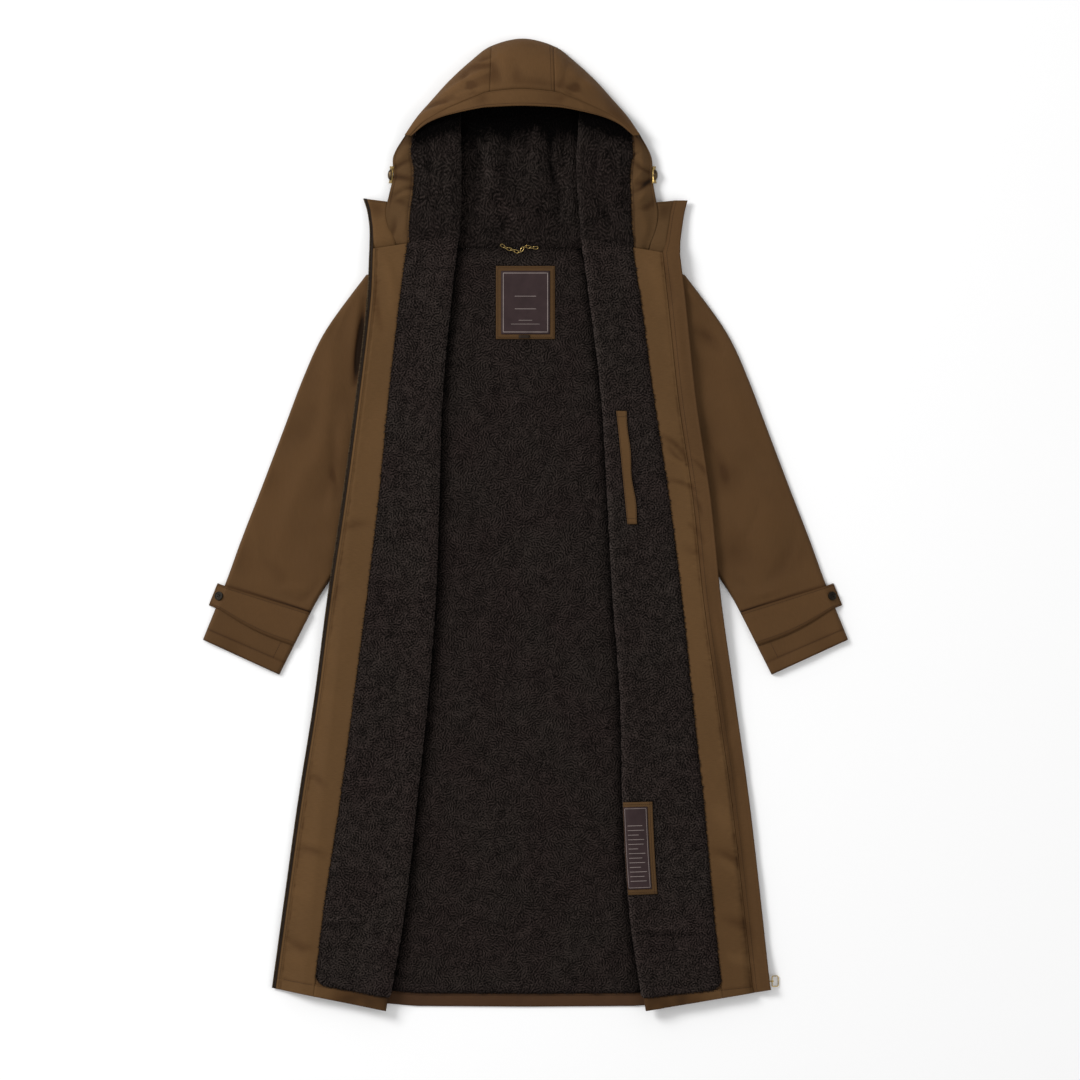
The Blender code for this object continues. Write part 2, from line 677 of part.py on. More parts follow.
def crown_grid(keys, shares, depth, seam=0.0):
    """Points of the crown moved inwards by depth; the brim's seam line moves by `seam` towards the mouth."""
    column = columns(CROWN, keys=list(range(len(CROWN))))
    step = 0.02
    grid = []
    for key in keys:
        row = []
        for share in shares:
            if abs(share - 1 + BRIM) < 1e-6:
                brim = crown_point(column, key, 1.0) - crown_point(column, key, 1 - BRIM)
                share += seam / brim.length * BRIM
            point = crown_point(column, key, share)
            low, high = max(share - step, 0.0), min(share + step, 1.0)
            down = crown_point(column, key, high) - crown_point(column, key, low)
            end = 2 * (len(CROWN) - 1)
            left, right = max(key - 0.1, 0.0), min(key + 0.1, end)
            across = crown_point(column, right, share) - crown_point(column, left, share)
            normal = down.cross(across).normalized()
            if normal.z < 0:
                normal = -normal
            moved = point - normal * depth
            row.append((moved.x, moved.y, max(moved.z, point.z if share == 0 else 0.0)))
        grid.append(row)
    return grid


def build_hood():
    slab("hood_back_shell", hood_outline(2.9, 2.6), 0.0, SHELL, "shell")
    slab("hood_back_lining", hood_outline(3.6, 15.0), SHELL + GAP, PILE_BACK, "fleece")
    last = 2 * (len(CROWN) - 1)
    seam = CENTRE_PANEL_ROW
    left, centre = spread(0, seam, 9), spread(seam, last - seam, 5)
    right = spread(last - seam, last, 9)
    slit = 0.006
    down = [0, 0.03, 0.1, 0.22, 0.38, 0.56, 1 - BRIM]
    for name, keys in (
        ("hood_crown_left", left[:-1] + [seam - slit]),
        ("hood_crown_centre", [seam + slit] + centre[1:-1] + [last - seam - slit]),
        ("hood_crown_right", [last - seam + slit] + right[1:]),
    ):
        wall(name, crown_grid(keys, down, SHELL, -GAP), crown_grid(keys, down, 0.0, -GAP), "shell")
    keys = left + centre[1:-1] + right
    edge = [1 - BRIM, 1 - BRIM / 2, 1.0]
    wall("hood_brim", crown_grid(keys, edge, GUARD, GAP), crown_grid(keys, edge, 0.0, GAP), "shell")
    inner = [0.1, 0.22, 0.38, 0.56, 0.7]
    depth = SHELL + GAP + 0.3
    keys = keys[2:-2]
    outer, under = crown_grid(keys, inner, depth), crown_grid(keys, inner, depth + PILE_CROWN)
    wall("hood_crown_lining", under, outer, "fleece")


def sleeve_point(column, row, across):
    """The point of the sleeve's section at a distance from its outer edge, and the section's width."""
    outer = Vector((column["out"](row), column["up"](row)))
    inner = Vector((column["in_out"](row), column["in_up"](row)))
    along = (inner - outer).normalized()
    return outer + along * across, (inner - outer).length


def sleeve_fold(row, share):
    """Soft long fold of the sleeve's upper layer."""
    along = math.sin(math.pi * min(row, 7.0) / 7.0)
    return 1.6 * math.exp(-(((share - 0.34 - 0.02 * row) / 0.14) ** 2)) * along


def sleeve_section(column, row):
    """The outer face of the upper sleeve from its outer to its inner edge, as (distance, height) pairs."""
    width = sleeve_point(column, row, 0)[1]
    top = SLEEVE_TOP + (SLEEVE_HEAD - SLEEVE_TOP) * ease(1 - row / HEAD_ROWS)
    path = []
    for k in range(4):
        a = math.pi / 2 * k / 4
        path.append((SLEEVE_ROUND * (1 - math.cos(a)), top * math.sin(a)))
    middle = spread(SLEEVE_ROUND, width - SLEEVE_ROUND, 7)
    flat = [(s, top + sleeve_fold(row, s / width) * ease(min(s, width - s) / 25)) for s in middle]
    return path + flat + [(width - s, z) for s, z in reversed(path)]


def build_sleeve(side, sign):
    column = columns(SLEEVES, keys=list(range(len(SLEEVES))))
    rows = spread(0, len(SLEEVES) - 1, SLEEVE_SECTIONS)

    def place(row, path):
        points = []
        for s, z in path:
            point = sleeve_point(column, row, s)[0]
            out = side_out(point.y) + ARMHOLE_GAP if row == 0 else point.x
            points.append((sign * out, point.y, z))
        return points

    inside, outside = [], []
    under_low, under_high = [], []
    for row in rows:
        path = sleeve_section(column, row)
        within = moved_out(path, [-SLEEVE] * len(path))
        within = [(s, max(z, 0.0)) for s, z in within]
        within[0], within[-1] = (path[0][0] + SLEEVE, 0.0), (path[-1][0] - SLEEVE, 0.0)
        outside.append(place(row, path))
        inside.append(place(row, within))
        width = path[-1][0]
        flat = spread(SLEEVE + 1.2, width - SLEEVE - 1.2, 4)
        under_low.append(place(row, [(s, 0.0) for s in flat]))
        under_high.append(place(row, [(s, SLEEVE) for s in flat]))
    wall(f"sleeve_upper_{side}", inside, outside, "shell")
    wall(f"sleeve_under_{side}", under_low, under_high, "shell")

    low, high = [], []
    for point in range(12, 2, -1):
        share = min(max((point - 4) / 6, 0), 1)
        low.append([])
        high.append([])
        for m in (0, 0.5, 1):
            start = STRAP_TAB.start + (STRAP_SEAM.start - STRAP_TAB.start) * share
            row = start + m * (STRAP_TAB.width + (STRAP_SEAM.width - STRAP_TAB.width) * share)
            path = sleeve_section(column, row)
            below = moved_out(path, [STRAP_LIFT] * len(path))[point]
            above = moved_out(path, [STRAP_LIFT + STRAP] * len(path))[point]
            low[-1] += place(row, [below])
            high[-1] += place(row, [above])
    rows = [STRAP_TAB.start + m * STRAP_TAB.width for m in (0, 0.5, 1)]
    tab = [place(row, [(-STRAP_REACH, STRAP_END_Z)])[0] for row in rows]
    low.append(tab)
    slope = (Vector(low[-2][1]) - Vector(tab[1])).normalized()
    edge = (Vector(tab[0]) - Vector(tab[2])).normalized()
    normal = slope.cross(edge)
    normal = normal if normal.z > 0 else -normal
    high.append([tuple(Vector(p) + normal * STRAP) for p in tab])
    wall(f"cuff_strap_{side}", low, high, "shell")
    bm = bmesh.new()
    made = bmesh.ops.create_cone(
        bm, cap_ends=True, segments=16, radius1=BUTTON_RADIUS * MM, radius2=BUTTON_RADIUS * 0.82 * MM,
        depth=BUTTON_HEIGHT * MM,
    )
    lean = Matrix((edge, normal.cross(edge), normal)).transposed()
    middle = (Vector(high[-2][1]) * 0.68 + Vector(high[-1][1]) * 0.32) + normal * (1.0 + BUTTON_HEIGHT / 2)
    bmesh.ops.rotate(bm, cent=(0, 0, 0), matrix=lean, verts=made["verts"])
    bmesh.ops.translate(bm, vec=world(*middle), verts=made["verts"])
    add_object(f"cuff_button_{side}", bm, "horn", smooth=False)


def build_chain():
    """Links that lie on the fleece at the neck seam, each turned from the one before it."""
    inner = LINK_LENGTH - 2 * WIRE
    pitch = inner - GAP
    heading = 0.0
    at = Vector((CHAIN_START[0], CHAIN_START[1], CHAIN_Z))
    half = (LINK_LENGTH - LINK_WIDTH) / 2
    round_ = (LINK_WIDTH - WIRE) / 2
    for number, row in enumerate(CHAIN, 1):
        heading += math.radians(row.turn)
        along = Vector((math.cos(heading), math.sin(heading), 0))
        roll = math.radians(row.roll)
        across = Vector((-math.sin(heading), math.cos(heading), 0)) * math.cos(roll)
        across += Vector((0, 0, math.sin(roll)))
        if number > 1:
            at = at + along * pitch / 2
        path = []
        for k in range(14):
            a = math.tau * k / 14
            shift = half if math.cos(a) > 0 else -half
            point = at + along * (shift + round_ * math.cos(a)) + across * (round_ * math.sin(a))
            path.append(world(*point))
        bm = bmesh.new()
        tube(bm, path, WIRE / 2 * MM, 6, closed=True)
        add_object(f"hanger_link_{number:02d}", bm, "brass")
        at = at + along * pitch / 2


def build_cord_lock(side, sign, rows):
    """A plate with flared ends and a dome on the outer side, against the hood's edge."""
    up_of = [row.edge_up for row in rows]
    out = through(up_of, [row.edge_out for row in rows])
    rise = (out(LOCK_UP + 10) - out(LOCK_UP - 10)) / 20
    lean = math.atan(rise)
    face = out(LOCK_UP) + 1.7
    half = LOCK_LENGTH / 2
    shape = [(0.0, 0.62), (0.35, 0.55), (0.75, 0.62), (0.92, 1.0), (1.0, 0.9)]
    outline = [(half * t, LOCK_HEIGHT / 2 * h) for t, h in shape]
    ring = outline + [(u, -v) for u, v in reversed(outline)]
    ring += [(-u, -v) for u, v in outline[1:]] + [(-u, v) for u, v in reversed(outline[1:])]
    layers = [(0.0, ring), (LOCK_PLATE, ring)]
    dome = [(0.0, 1.0), (0.4, 0.95), (0.75, 0.72), (1.0, 0.35)]
    bm = bmesh.new()

    def put(u, v, w):
        up = LOCK_UP + u * math.cos(lean)
        return world(sign * (face + u * math.sin(lean) + w), up, LOCK_Z + v)

    loops = [[bm.verts.new(put(u, v, w)) for u, v in shape_] for w, shape_ in layers]
    oval = []
    for u, v in ring:
        a = math.atan2(v / (LOCK_HEIGHT * 0.42), u / (half * 0.62))
        oval.append((half * 0.62 * math.cos(a), LOCK_HEIGHT * 0.42 * math.sin(a)))
    for h, r in dome:
        loops.append([bm.verts.new(put(u * r, v * r, LOCK_PLATE + 0.05 + LOCK_DOME * h)) for u, v in oval])
    for one, two in zip(loops, loops[1:]):
        for k in range(len(ring)):
            m = (k + 1) % len(ring)
            bm.faces.new((one[k], one[m], two[m], two[k]))
    bm.faces.new(loops[0])
    bm.faces.new(loops[-1])
    add_object(f"cord_lock_{side}", bm, "brass", smooth=False)


def joined(target, cutter, operation):
    change = target.modifiers.new(operation.lower(), "BOOLEAN")
    change.object, change.operation, change.solver = cutter, operation, "EXACT"
    bpy.context.view_layer.objects.active = target
    bpy.ops.object.modifier_apply(modifier=change.name)
    bpy.data.objects.remove(cutter, do_unlink=True)


def build_zip_pull():
    """Slider with an eye on its outer side, and the ring that turns in the eye."""
    out, up, z = SLIDER
    bm = bmesh.new()
    made = bmesh.ops.create_cube(bm, size=1)
    bmesh.ops.scale(bm, vec=Vector(SLIDER_SIZE) * MM, verts=made["verts"])
    bmesh.ops.translate(bm, vec=world(out, up, z), verts=made["verts"])
    bmesh.ops.bevel(bm, geom=bm.edges[:], offset=1.4 * MM, segments=2, affect="EDGES", profile=0.5)
    slider = add_object("zip_slider", bm, "brass")

    def barrel(name, radius, width, middle):
        shape = bmesh.new()
        found = bmesh.ops.create_cone(
            shape, cap_ends=True, segments=16, radius1=radius * MM, radius2=radius * MM, depth=width * MM
        )
        for vert in found["verts"]:
            x, y, w = vert.co
            vert.co = Vector((x, w, y)) + world(*middle)
        return add_object(name, shape, "brass")

    eye = barrel("eye", EYE_RADIUS, EYE_WIDTH, (EYE_OUT, up, z))
    arm_mesh = bmesh.new()
    arm = bmesh.ops.create_cube(arm_mesh, size=1)
    start = out + SLIDER_SIZE[0] / 2 - 1.0
    bmesh.ops.scale(arm_mesh, vec=Vector((EYE_OUT - start, EYE_WIDTH * 0.8, 2.6)) * MM, verts=arm["verts"])
    bmesh.ops.translate(arm_mesh, vec=world((start + EYE_OUT) / 2, up, z), verts=arm["verts"])
    joined(slider, add_object("arm", arm_mesh, "brass"), "UNION")
    joined(slider, eye, "UNION")
    hole = barrel("hole", RING_WIRE / 2 + GAP, EYE_WIDTH * 2, (EYE_OUT, up, z))
    joined(slider, hole, "DIFFERENCE")

    tilt = math.radians(RING_TILT)
    far = Vector((math.cos(tilt), 0, -math.sin(tilt)))
    corner = 2.6
    half = RING_WIDTH / 2
    flat = []
    for (u, v), start in (
        ((RING_LENGTH - corner, -half + corner), -90),
        ((RING_LENGTH - corner, half - corner), 0),
        ((corner, half - corner), 90),
        ((corner, -half + corner), 180),
    ):
        for k in range(4):
            a = math.radians(start + 30 * k)
            flat.append((u + corner * math.cos(a), v + corner * math.sin(a)))
    path = [world(EYE_OUT, up + v, z) + far * u * MM for u, v in flat]
    bm = bmesh.new()
    tube(bm, path, RING_WIRE / 2 * MM, 8, closed=True)
    add_object("zip_pull", bm, "brass")


def main():
    clear_scene()
    build_back()
    left = build_front("left", -1, LEFT_FRONT, ZIP_TAPE)
    right = build_front("right", 1, RIGHT_FRONT, PLACKET)
    build_left_edge(left)
    build_right_edge(right)
    build_labels(right)
    build_hood_side("left", -1, LEFT_HOOD, LEFT_GUARD)
    build_hood_side("right", 1, RIGHT_HOOD, RIGHT_GUARD)
    build_hood()
    build_sleeve("left", -1)
    build_sleeve("right", 1)
    build_chain()
    build_cord_lock("left", -1, LEFT_HOOD)
    build_cord_lock("right", 1, RIGHT_HOOD)
    build_zip_pull()


main()
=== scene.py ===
# %% [markdown]
# # A long hooded coat, laid open on its back
#
# The coat lies flat with both fronts turned back, so most of what shows is the inside: a dark curly fleece,
# framed by strips of brown proofed cotton. The imported model gives every piece its place, and this lesson gives
# each one its cloth. First the frame is loaded. The finished cloth has to stay in it.

# %% Load the frame
import math

import bpy
import numpy as np
from mathutils import Matrix, Vector


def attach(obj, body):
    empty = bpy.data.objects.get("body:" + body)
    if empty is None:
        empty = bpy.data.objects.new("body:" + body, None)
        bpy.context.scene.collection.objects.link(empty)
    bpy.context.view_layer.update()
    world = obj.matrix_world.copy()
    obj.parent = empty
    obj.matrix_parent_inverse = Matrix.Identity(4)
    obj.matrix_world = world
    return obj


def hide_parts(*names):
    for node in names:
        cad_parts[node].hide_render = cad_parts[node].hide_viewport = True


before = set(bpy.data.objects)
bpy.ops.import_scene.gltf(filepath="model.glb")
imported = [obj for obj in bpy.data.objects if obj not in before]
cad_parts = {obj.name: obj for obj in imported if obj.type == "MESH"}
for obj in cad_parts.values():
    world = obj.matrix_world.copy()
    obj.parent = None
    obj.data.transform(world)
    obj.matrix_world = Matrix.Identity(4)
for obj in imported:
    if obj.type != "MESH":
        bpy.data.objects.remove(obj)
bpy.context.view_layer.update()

# %% [markdown]
# ## Camera, floor and light
#
# The photograph looks straight down, so the camera hangs above the coat with the hood at the top of the picture.
# A very long lens from fifteen metres keeps the sleeves and the hood free of perspective. The floor is a plain
# pale plane. Light comes mostly from a bright even sky, as in a white studio, with one broad lamp from the upper
# left that brings out the curls and folds, and a weaker one from the right.

# %% Camera
FRAME_WIDTH, FRAME_MIDDLE = 1.771, (0.0238, -0.0253)  # of what the picture shows, in metres
LENS, SENSOR, COAT_FACE = 300.0, 36.0, 0.015

camera_data = bpy.data.cameras.new("camera_above")
camera_data.lens, camera_data.sensor_width = LENS, SENSOR
camera = bpy.data.objects.new("camera_above", camera_data)
bpy.context.scene.collection.objects.link(camera)
camera.location = (*FRAME_MIDDLE, FRAME_WIDTH * LENS / SENSOR + COAT_FACE)
bpy.context.scene.camera = camera
bpy.context.scene.view_settings.view_transform = "Standard"
print("camera at", [round(v, 3) for v in camera.location])

# %% Floor and light
FLOOR_HALF, FLOOR_Z, SKY = 9, -0.0006, 0.58
floor_data = bpy.data.meshes.new("pale_floor")
corners = [(x * FLOOR_HALF, y * FLOOR_HALF, 0) for x, y in ((-1, -1), (1, -1), (1, 1), (-1, 1))]
floor_data.from_pydata(corners, [], [(0, 1, 2, 3)])
floor = bpy.data.objects.new("pale_floor", floor_data)
floor.location.z = FLOOR_Z
bpy.context.scene.collection.objects.link(floor)
floor_paint = bpy.data.materials.new("pale_paper")
floor_paint.use_nodes = True
paper = floor_paint.node_tree.nodes["Principled BSDF"].inputs
paper["Base Color"].default_value, paper["Roughness"].default_value = (0.96, 0.96, 0.96, 1), 0.9
floor_data.materials.append(floor_paint)

studio = bpy.data.worlds.new("white_studio")
studio.use_nodes = True
sky = studio.node_tree.nodes["Background"].inputs
sky["Color"].default_value, sky["Strength"].default_value = (1, 1, 1, 1), SKY
bpy.context.scene.world = studio


def soft_lamp(name, place, power, size):
    lamp = bpy.data.lights.new(name, "AREA")
    lamp.energy, lamp.size = power, size
    holder = bpy.data.objects.new(name, lamp)
    holder.location = place
    holder.rotation_euler = (-Vector(place)).to_track_quat("-Z", "Y").to_euler()
    bpy.context.scene.collection.objects.link(holder)


soft_lamp("lamp_upper_left", (-4.6, 2.8, 4.3), power=345, size=2.6)
soft_lamp("lamp_right", (4.6, -1.6, 4.8), power=52, size=3.6)
print("lights: a white sky and", len(bpy.data.lights), "soft lamps")

# %% [markdown]
# ## The cut, in millimetres
#
# These tables are some of those that the model was made from; the others come where they are first needed.
# "out" is the distance from the coat's middle line and "up" the distance from a line just below the hem towards
# the hood. With them each cloth can be worked out again point by point, as finely as its looks need, and it
# still lands exactly where the model has it.

# %% Thicknesses and heights of the layers
MM = 0.001
CROWN_UP, HEM_UP = 1597.0, 1.47
MIDDLE_UP = (HEM_UP + CROWN_UP) / 2
GAP = 0.3
SHELL, FACING = 1.2, 1.2
PILE_BACK, PILE_UNDER, PILE_TOP = 6.5, 4.5, 6.0
BACK_TOP = SHELL + GAP + PILE_BACK
LOW = BACK_TOP + GAP + PILE_UNDER + GAP + SHELL / 2
REST = LOW + SHELL + 0.7
LOOP = 4.0
ROLL_TOP, ROLL_FALL = LOW + 2 * LOOP, 30.0
BEND = LOOP + SHELL / 2 + GAP + (PILE_UNDER + PILE_TOP) / 2
HEM_BAND, ZIP_TAPE, PLACKET, HOOD_RIM = 22.0, 6.0, 29.0, 6.0
print("layers: back", BACK_TOP, "front", LOW, "turned-back", REST, "roll", ROLL_TOP, "mm above the floor")

# %% Outline tables
SIDE = [(32, 354), (348, 326), (676, 291), (913, 270), (1212, 258)]  # up, out
HEM = [(0, 8.0), (180, 9.2), (270, 17.0), (354, 32.0)]  # out, up
HOOD_SIDE = [(1250, 142), (1290, 170), (1315, 177), (1345, 182), (1385, 185), (1425, 184), (1460, 166)]
print("half width of the hem", HEM[-1][0], "mm")

# %% Smooth curves through a table
def through(keys, values):
    """A smooth function of the key that passes through the values; it takes and gives arrays."""
    keys, values = np.array(keys, float), np.array(values, float)
    after = np.minimum(np.arange(len(keys)) + 1, len(keys) - 1)
    before = np.maximum(np.arange(len(keys)) - 1, 0)
    slopes = (values[after] - values[before]) / (keys[after] - keys[before])

    def value(key):
        key = np.asarray(key, float)
        i = np.clip(np.searchsorted(keys, key, side="right") - 1, 0, len(keys) - 2)
        span = keys[i + 1] - keys[i]
        t = np.clip((key - keys[i]) / span, 0, 1)
        start = values[i] * (1 + 2 * t) + slopes[i] * span * t
        end = values[i + 1] * (3 - 2 * t) - slopes[i + 1] * span * (1 - t)
        return start * (1 - t) ** 2 + end * t**2

    return value


def columns(names, rows, numbered=False):
    """A curve for each column of a table, over its first column or over the number of the row."""
    keys = range(len(rows)) if numbered else [row[0] for row in rows]
    return {name: through(keys, [row[i] for row in rows]) for i, name in enumerate(names)}


def column_through(rows, value, key=0):
    """The curve of one column of a table over another."""
    return through([row[key] for row in rows], [row[value] for row in rows])


def ease(t):
    """From 0 to 1 with a soft start and a soft end."""
    t = np.clip(t, 0, 1)
    return t * t * (3 - 2 * t)


def bell(offset, width):
    """1 where the offset is nought, fading on both sides of it over the width."""
    return np.exp(-((offset / width) ** 2))


side_out = column_through(SIDE, 1)
hood_side_out = column_through(HOOD_SIDE, 1)
print("half width at the armhole", round(float(side_out(1000)), 1), "mm")

# %% [markdown]
# ## Noise that repeats: soft waves and fleece curls
#
# A curly fleece is rows of little worms of yarn that swirl about. By hand one would sculpt a patch and stamp it.
# Here the patch is a tile of a metre made with a Fourier filter: seeded noise is kept only at one wavelength, in
# eight directions, and a slow swirl map says which direction wins where. The same tool, with a longer wave,
# gives the gentle unevenness of a cloth that lies on another.

# %% Noise tiles
def band_noise(size, step, low, high, seed):
    """Seeded noise with waves between low and high, on a tile of size x size points that repeats."""
    waves = np.fft.fftfreq(size, step)
    rate = np.hypot(*np.meshgrid(waves, waves, indexing="ij"))
    keep = 1 / (1 + (rate * low) ** 8) * (1 - np.exp(-((rate * high) ** 4)))
    field = np.fft.ifft2(np.fft.fft2(np.random.default_rng(seed).standard_normal((size, size))) * keep).real
    return field / field.std()


def curl_tile(size, wave, swirl, seed, upright=0.0):
    """Fleece curls on a tile of 1 mm points; `upright` draws the curls towards the coat's length."""
    waves = np.fft.fftfreq(size, 1.0)
    across, along = np.meshgrid(waves, waves, indexing="ij")
    rate, angle = np.hypot(across, along), np.arctan2(along, across)
    white = np.fft.fft2(np.random.default_rng(seed).standard_normal((size, size)))
    turn = 1.15 * (1 - upright) * band_noise(size, 1.0, swirl, 3 * swirl, seed + 1)
    total = 0
    for k in range(8):
        lean = math.pi * k / 8
        off = np.abs((angle - lean + math.pi / 2) % math.pi - math.pi / 2)
        only = np.exp(-(((rate * wave - 1) / 0.36) ** 2) - (off / 0.5) ** 2)
        total = total + np.cos(turn - lean) ** 8 * np.fft.ifft2(white * only).real
    size_of = 0.75 + 0.3 * np.tanh(band_noise(size, 1.0, 14, 40, seed + 2))
    return np.tanh(1.25 * total / total.std()) * size_of


def sampled(tile, x, y, step=1.0):
    """The tile's value at points in millimetres, between its own points too."""
    size = tile.shape[0]
    x, y = np.asarray(x) / step % size, np.asarray(y) / step % size
    i, j = x.astype(int), y.astype(int)
    fx, fy = x - i, y - j
    i, j, k, m = i % size, j % size, (i + 1) % size, (j + 1) % size
    near = tile[i, j] * (1 - fy) + tile[i, m] * fy
    return near * (1 - fx) + (tile[k, j] * (1 - fy) + tile[k, m] * fy) * fx


CLUMP_STEP, WAVE_STEP = 2.0, 4.0
CURLS = curl_tile(1024, wave=6.6, swirl=17, seed=11)
HOOD_CURLS = curl_tile(512, wave=8.0, swirl=20, seed=23, upright=0.45)
CLUMPS = band_noise(512, CLUMP_STEP, low=18, high=60, seed=5)
WAVES = band_noise(512, WAVE_STEP, low=70, high=190, seed=7)


def clumps_at(x, y):
    return sampled(CLUMPS, x, y, CLUMP_STEP)


def waves_at(x, y):
    return sampled(WAVES, x, y, WAVE_STEP)


print("fleece tile", CURLS.shape, "from", round(float(CURLS.min()), 2), "to", round(float(CURLS.max()), 2))

# %% [markdown]
# ## Creases, placed one by one
#
# The cotton has few creases, and those it has are uneven: short dents near the seams, long soft ridges down the
# sleeves, little gathers at the cord locks. Each is a row of a table: two ends on the coat, how far the line
# bows, its half width and its height, a ridge above zero and a trough below. A crease fades out at both ends.

# %% Creases of the fronts
# x, up, x, up, bow, half width, height
LEFT_CREASES = [
    (-372, 268, -330, 258, 4, 7, -0.9), (-368, 285, -322, 272, -3, 8, 0.9), (-394, 196, -345, 178, 5, 9, 0.8),
    (-386, 118, -350, 104, -4, 8, -0.8), (-398, 88, -352, 70, 3, 10, 0.9), (-300, 792, -258, 800, 3, 8, -0.7),
    (-262, 1135, -300, 850, 9, 13, 1.4), (-318, 610, -352, 420, -6, 12, 1.2),
    (-330, 640, -300, 700, 4, 9, -0.6), (-232, 1236, -216, 1150, 5, 9, 1.2),
    (-246, 1200, -236, 1120, -3, 6, -0.7), (-356, 388, -330, 372, 3, 6, -0.7),
    (-340, 520, -306, 505, 3, 8, 0.8),
]
RIGHT_CREASES = [
    (275, 906, 297, 881, 2, 3.2, -1.3), (268, 921, 297, 899, -2, 3.4, 1.1), (277, 845, 290, 816, 2, 3.6, -1.1),
    (226, 944, 264, 906, 5, 5, -1.1), (232, 909, 274, 880, 4, 5, 1.2), (238, 872, 284, 852, 4, 4, -1.1),
    (236, 925, 268, 895, -3, 4, -1.0), (262, 868, 292, 872, 2, 3.4, 1.0), (270, 800, 292, 770, 3, 4.5, -1.0),
    (313, 264, 354, 230, 6, 9, -0.9), (322, 250, 362, 212, 4, 8, 0.9), (316, 332, 348, 300, -4, 9, 0.8),
    (330, 152, 374, 126, 5, 9, -0.8), (338, 90, 386, 70, 3, 8, 0.9), (246, 1148, 262, 1020, -5, 11, 1.3),
    (206, 1228, 226, 1150, 6, 12, 1.2), (228, 1224, 240, 1160, 3, 6, -0.8), (288, 690, 318, 600, 6, 11, 1.1),
    (262, 760, 296, 742, 3, 8, -0.7), (350, 470, 330, 400, -4, 9, 0.8),
]
print("creases on the facings:", len(LEFT_CREASES), "and", len(RIGHT_CREASES))

# %% Creases of the hood's sides
HOOD_LEFT_CREASES = [
    (-213, 1342, -180, 1352, 2, 4, -1.5), (-214, 1334, -182, 1340, 2, 4, 1.2),
    (-196, 1419, -178, 1411, 2, 4, 1.0), (-224, 1376, -186, 1398, 3, 4, -1.2),
    (-224, 1369, -184, 1364, 2, 5, -1.3), (-222, 1384, -190, 1412, 3, 6, 1.1),
    (-226, 1356, -188, 1340, 4, 7, 1.3), (-220, 1336, -192, 1318, 3, 6, -1.0),
    (-198, 1318, -206, 1272, 5, 8, 1.4), (-214, 1300, -222, 1268, 2, 5, -0.9),
]
HOOD_RIGHT_CREASES = [
    (172, 1398, 186, 1409, 2, 3, -1.2), (188, 1396, 204, 1383, -2, 3.5, 1.2), (173, 1351, 192, 1378, 3, 4, 1.3),
    (180, 1345, 205, 1366, -2, 3.5, -1.3), (186, 1330, 206, 1350, 2, 4, 1.1),
    (214, 1374, 178, 1394, 3, 4, -1.2), (214, 1366, 176, 1358, 2, 5, -1.2), (212, 1384, 180, 1408, 3, 6, 1.0),
    (216, 1350, 180, 1334, 4, 7, 1.3), (212, 1330, 184, 1314, 3, 6, -1.0), (188, 1312, 196, 1268, 5, 8, 1.4),
]
print("creases on the hood's sides:", len(HOOD_LEFT_CREASES), "and", len(HOOD_RIGHT_CREASES))


# %% Height of the creases
def relief(table, points):
    """Height that the creases of a table add at points of the coat."""
    x, up = points[..., 0], points[..., 1]
    total = np.zeros(x.shape)
    for x1, up1, x2, up2, bow, wide, high in table:
        length = math.hypot(x2 - x1, up2 - up1)
        cx, cy = (x2 - x1) / length, (up2 - up1) / length
        along = ((x - x1) * cx + (up - up1) * cy) / length
        off = (up - up1) * cx - (x - x1) * cy - bow * np.sin(np.pi * np.clip(along, 0, 1))
        past = np.maximum(np.maximum(-along, along - 1), 0) * length
        fade = 0.4 + 0.6 * np.sin(np.pi * np.clip(along, 0, 1))
        total += high * fade * np.exp(-(off**2 + past**2) / wide**2)
    return total


print("height in a crease of the left facing", relief(LEFT_CREASES, np.array([[-350.0, 263.0]])).round(2), "mm")

# %% [markdown]
# ## Materials
#
# Proofed cotton is matt and a little uneven in colour, in blotches the size of a hand; on top of that its colour
# is painted paler along ridges and darker in troughs, a painted light and shade. Its weave is half a millimetre, so
# it only shows as bump in a close look. The fleece's colour is painted shade from how high each point of a curl
# stands: nearly black between the curls, dark brown on top, with a soft sheen from the fibre ends. Brass, horn and
# woven label are small, but each gets its own wear.

# %% Material helpers
def shader_of(name):
    made = bpy.data.materials.new(name)
    made.use_nodes = True
    return made, made.node_tree, made.node_tree.nodes["Principled BSDF"]


def fill(tree, node, inputs):
    """Sets the inputs of a node, each to a value or to what another node gives, and returns its outputs."""
    for name, value in inputs.items():
        if isinstance(value, bpy.types.NodeSocket):
            tree.links.new(value, node.inputs[name])
        else:
            node.inputs[name].default_value = value
    return node.outputs


def placed_at(tree, source, stretch):
    """Where a point of the cloth is, stretched along each axis."""
    place = tree.nodes.new("ShaderNodeTexCoord").outputs[source]
    return fill(tree, tree.nodes.new("ShaderNodeMapping"), {"Vector": place, "Scale": stretch})["Vector"]


def noise_of(tree, scale, detail=3.0, source="Object", stretch=(1, 1, 1), twist=0.0):
    inputs = {"Vector": placed_at(tree, source, stretch), "Scale": scale, "Detail": detail, "Distortion": twist}
    return fill(tree, tree.nodes.new("ShaderNodeTexNoise"), inputs)["Fac"]


def ramp_of(tree, factor, stops):
    ramp = tree.nodes.new("ShaderNodeValToRGB")
    while len(ramp.color_ramp.elements) < len(stops):
        ramp.color_ramp.elements.new(0.5)
    for element, (place, colour) in zip(ramp.color_ramp.elements, stops):
        element.position, element.color = place, (*colour, 1)
    return fill(tree, ramp, {"Fac": factor})["Color"]


def multiplied(tree, one, two):
    mix = tree.nodes.new("ShaderNodeMix")
    mix.data_type, mix.blend_type = "RGBA", "MULTIPLY"
    return fill(tree, mix, {"Factor": 1.0, "A": one, "B": two})["Result"]


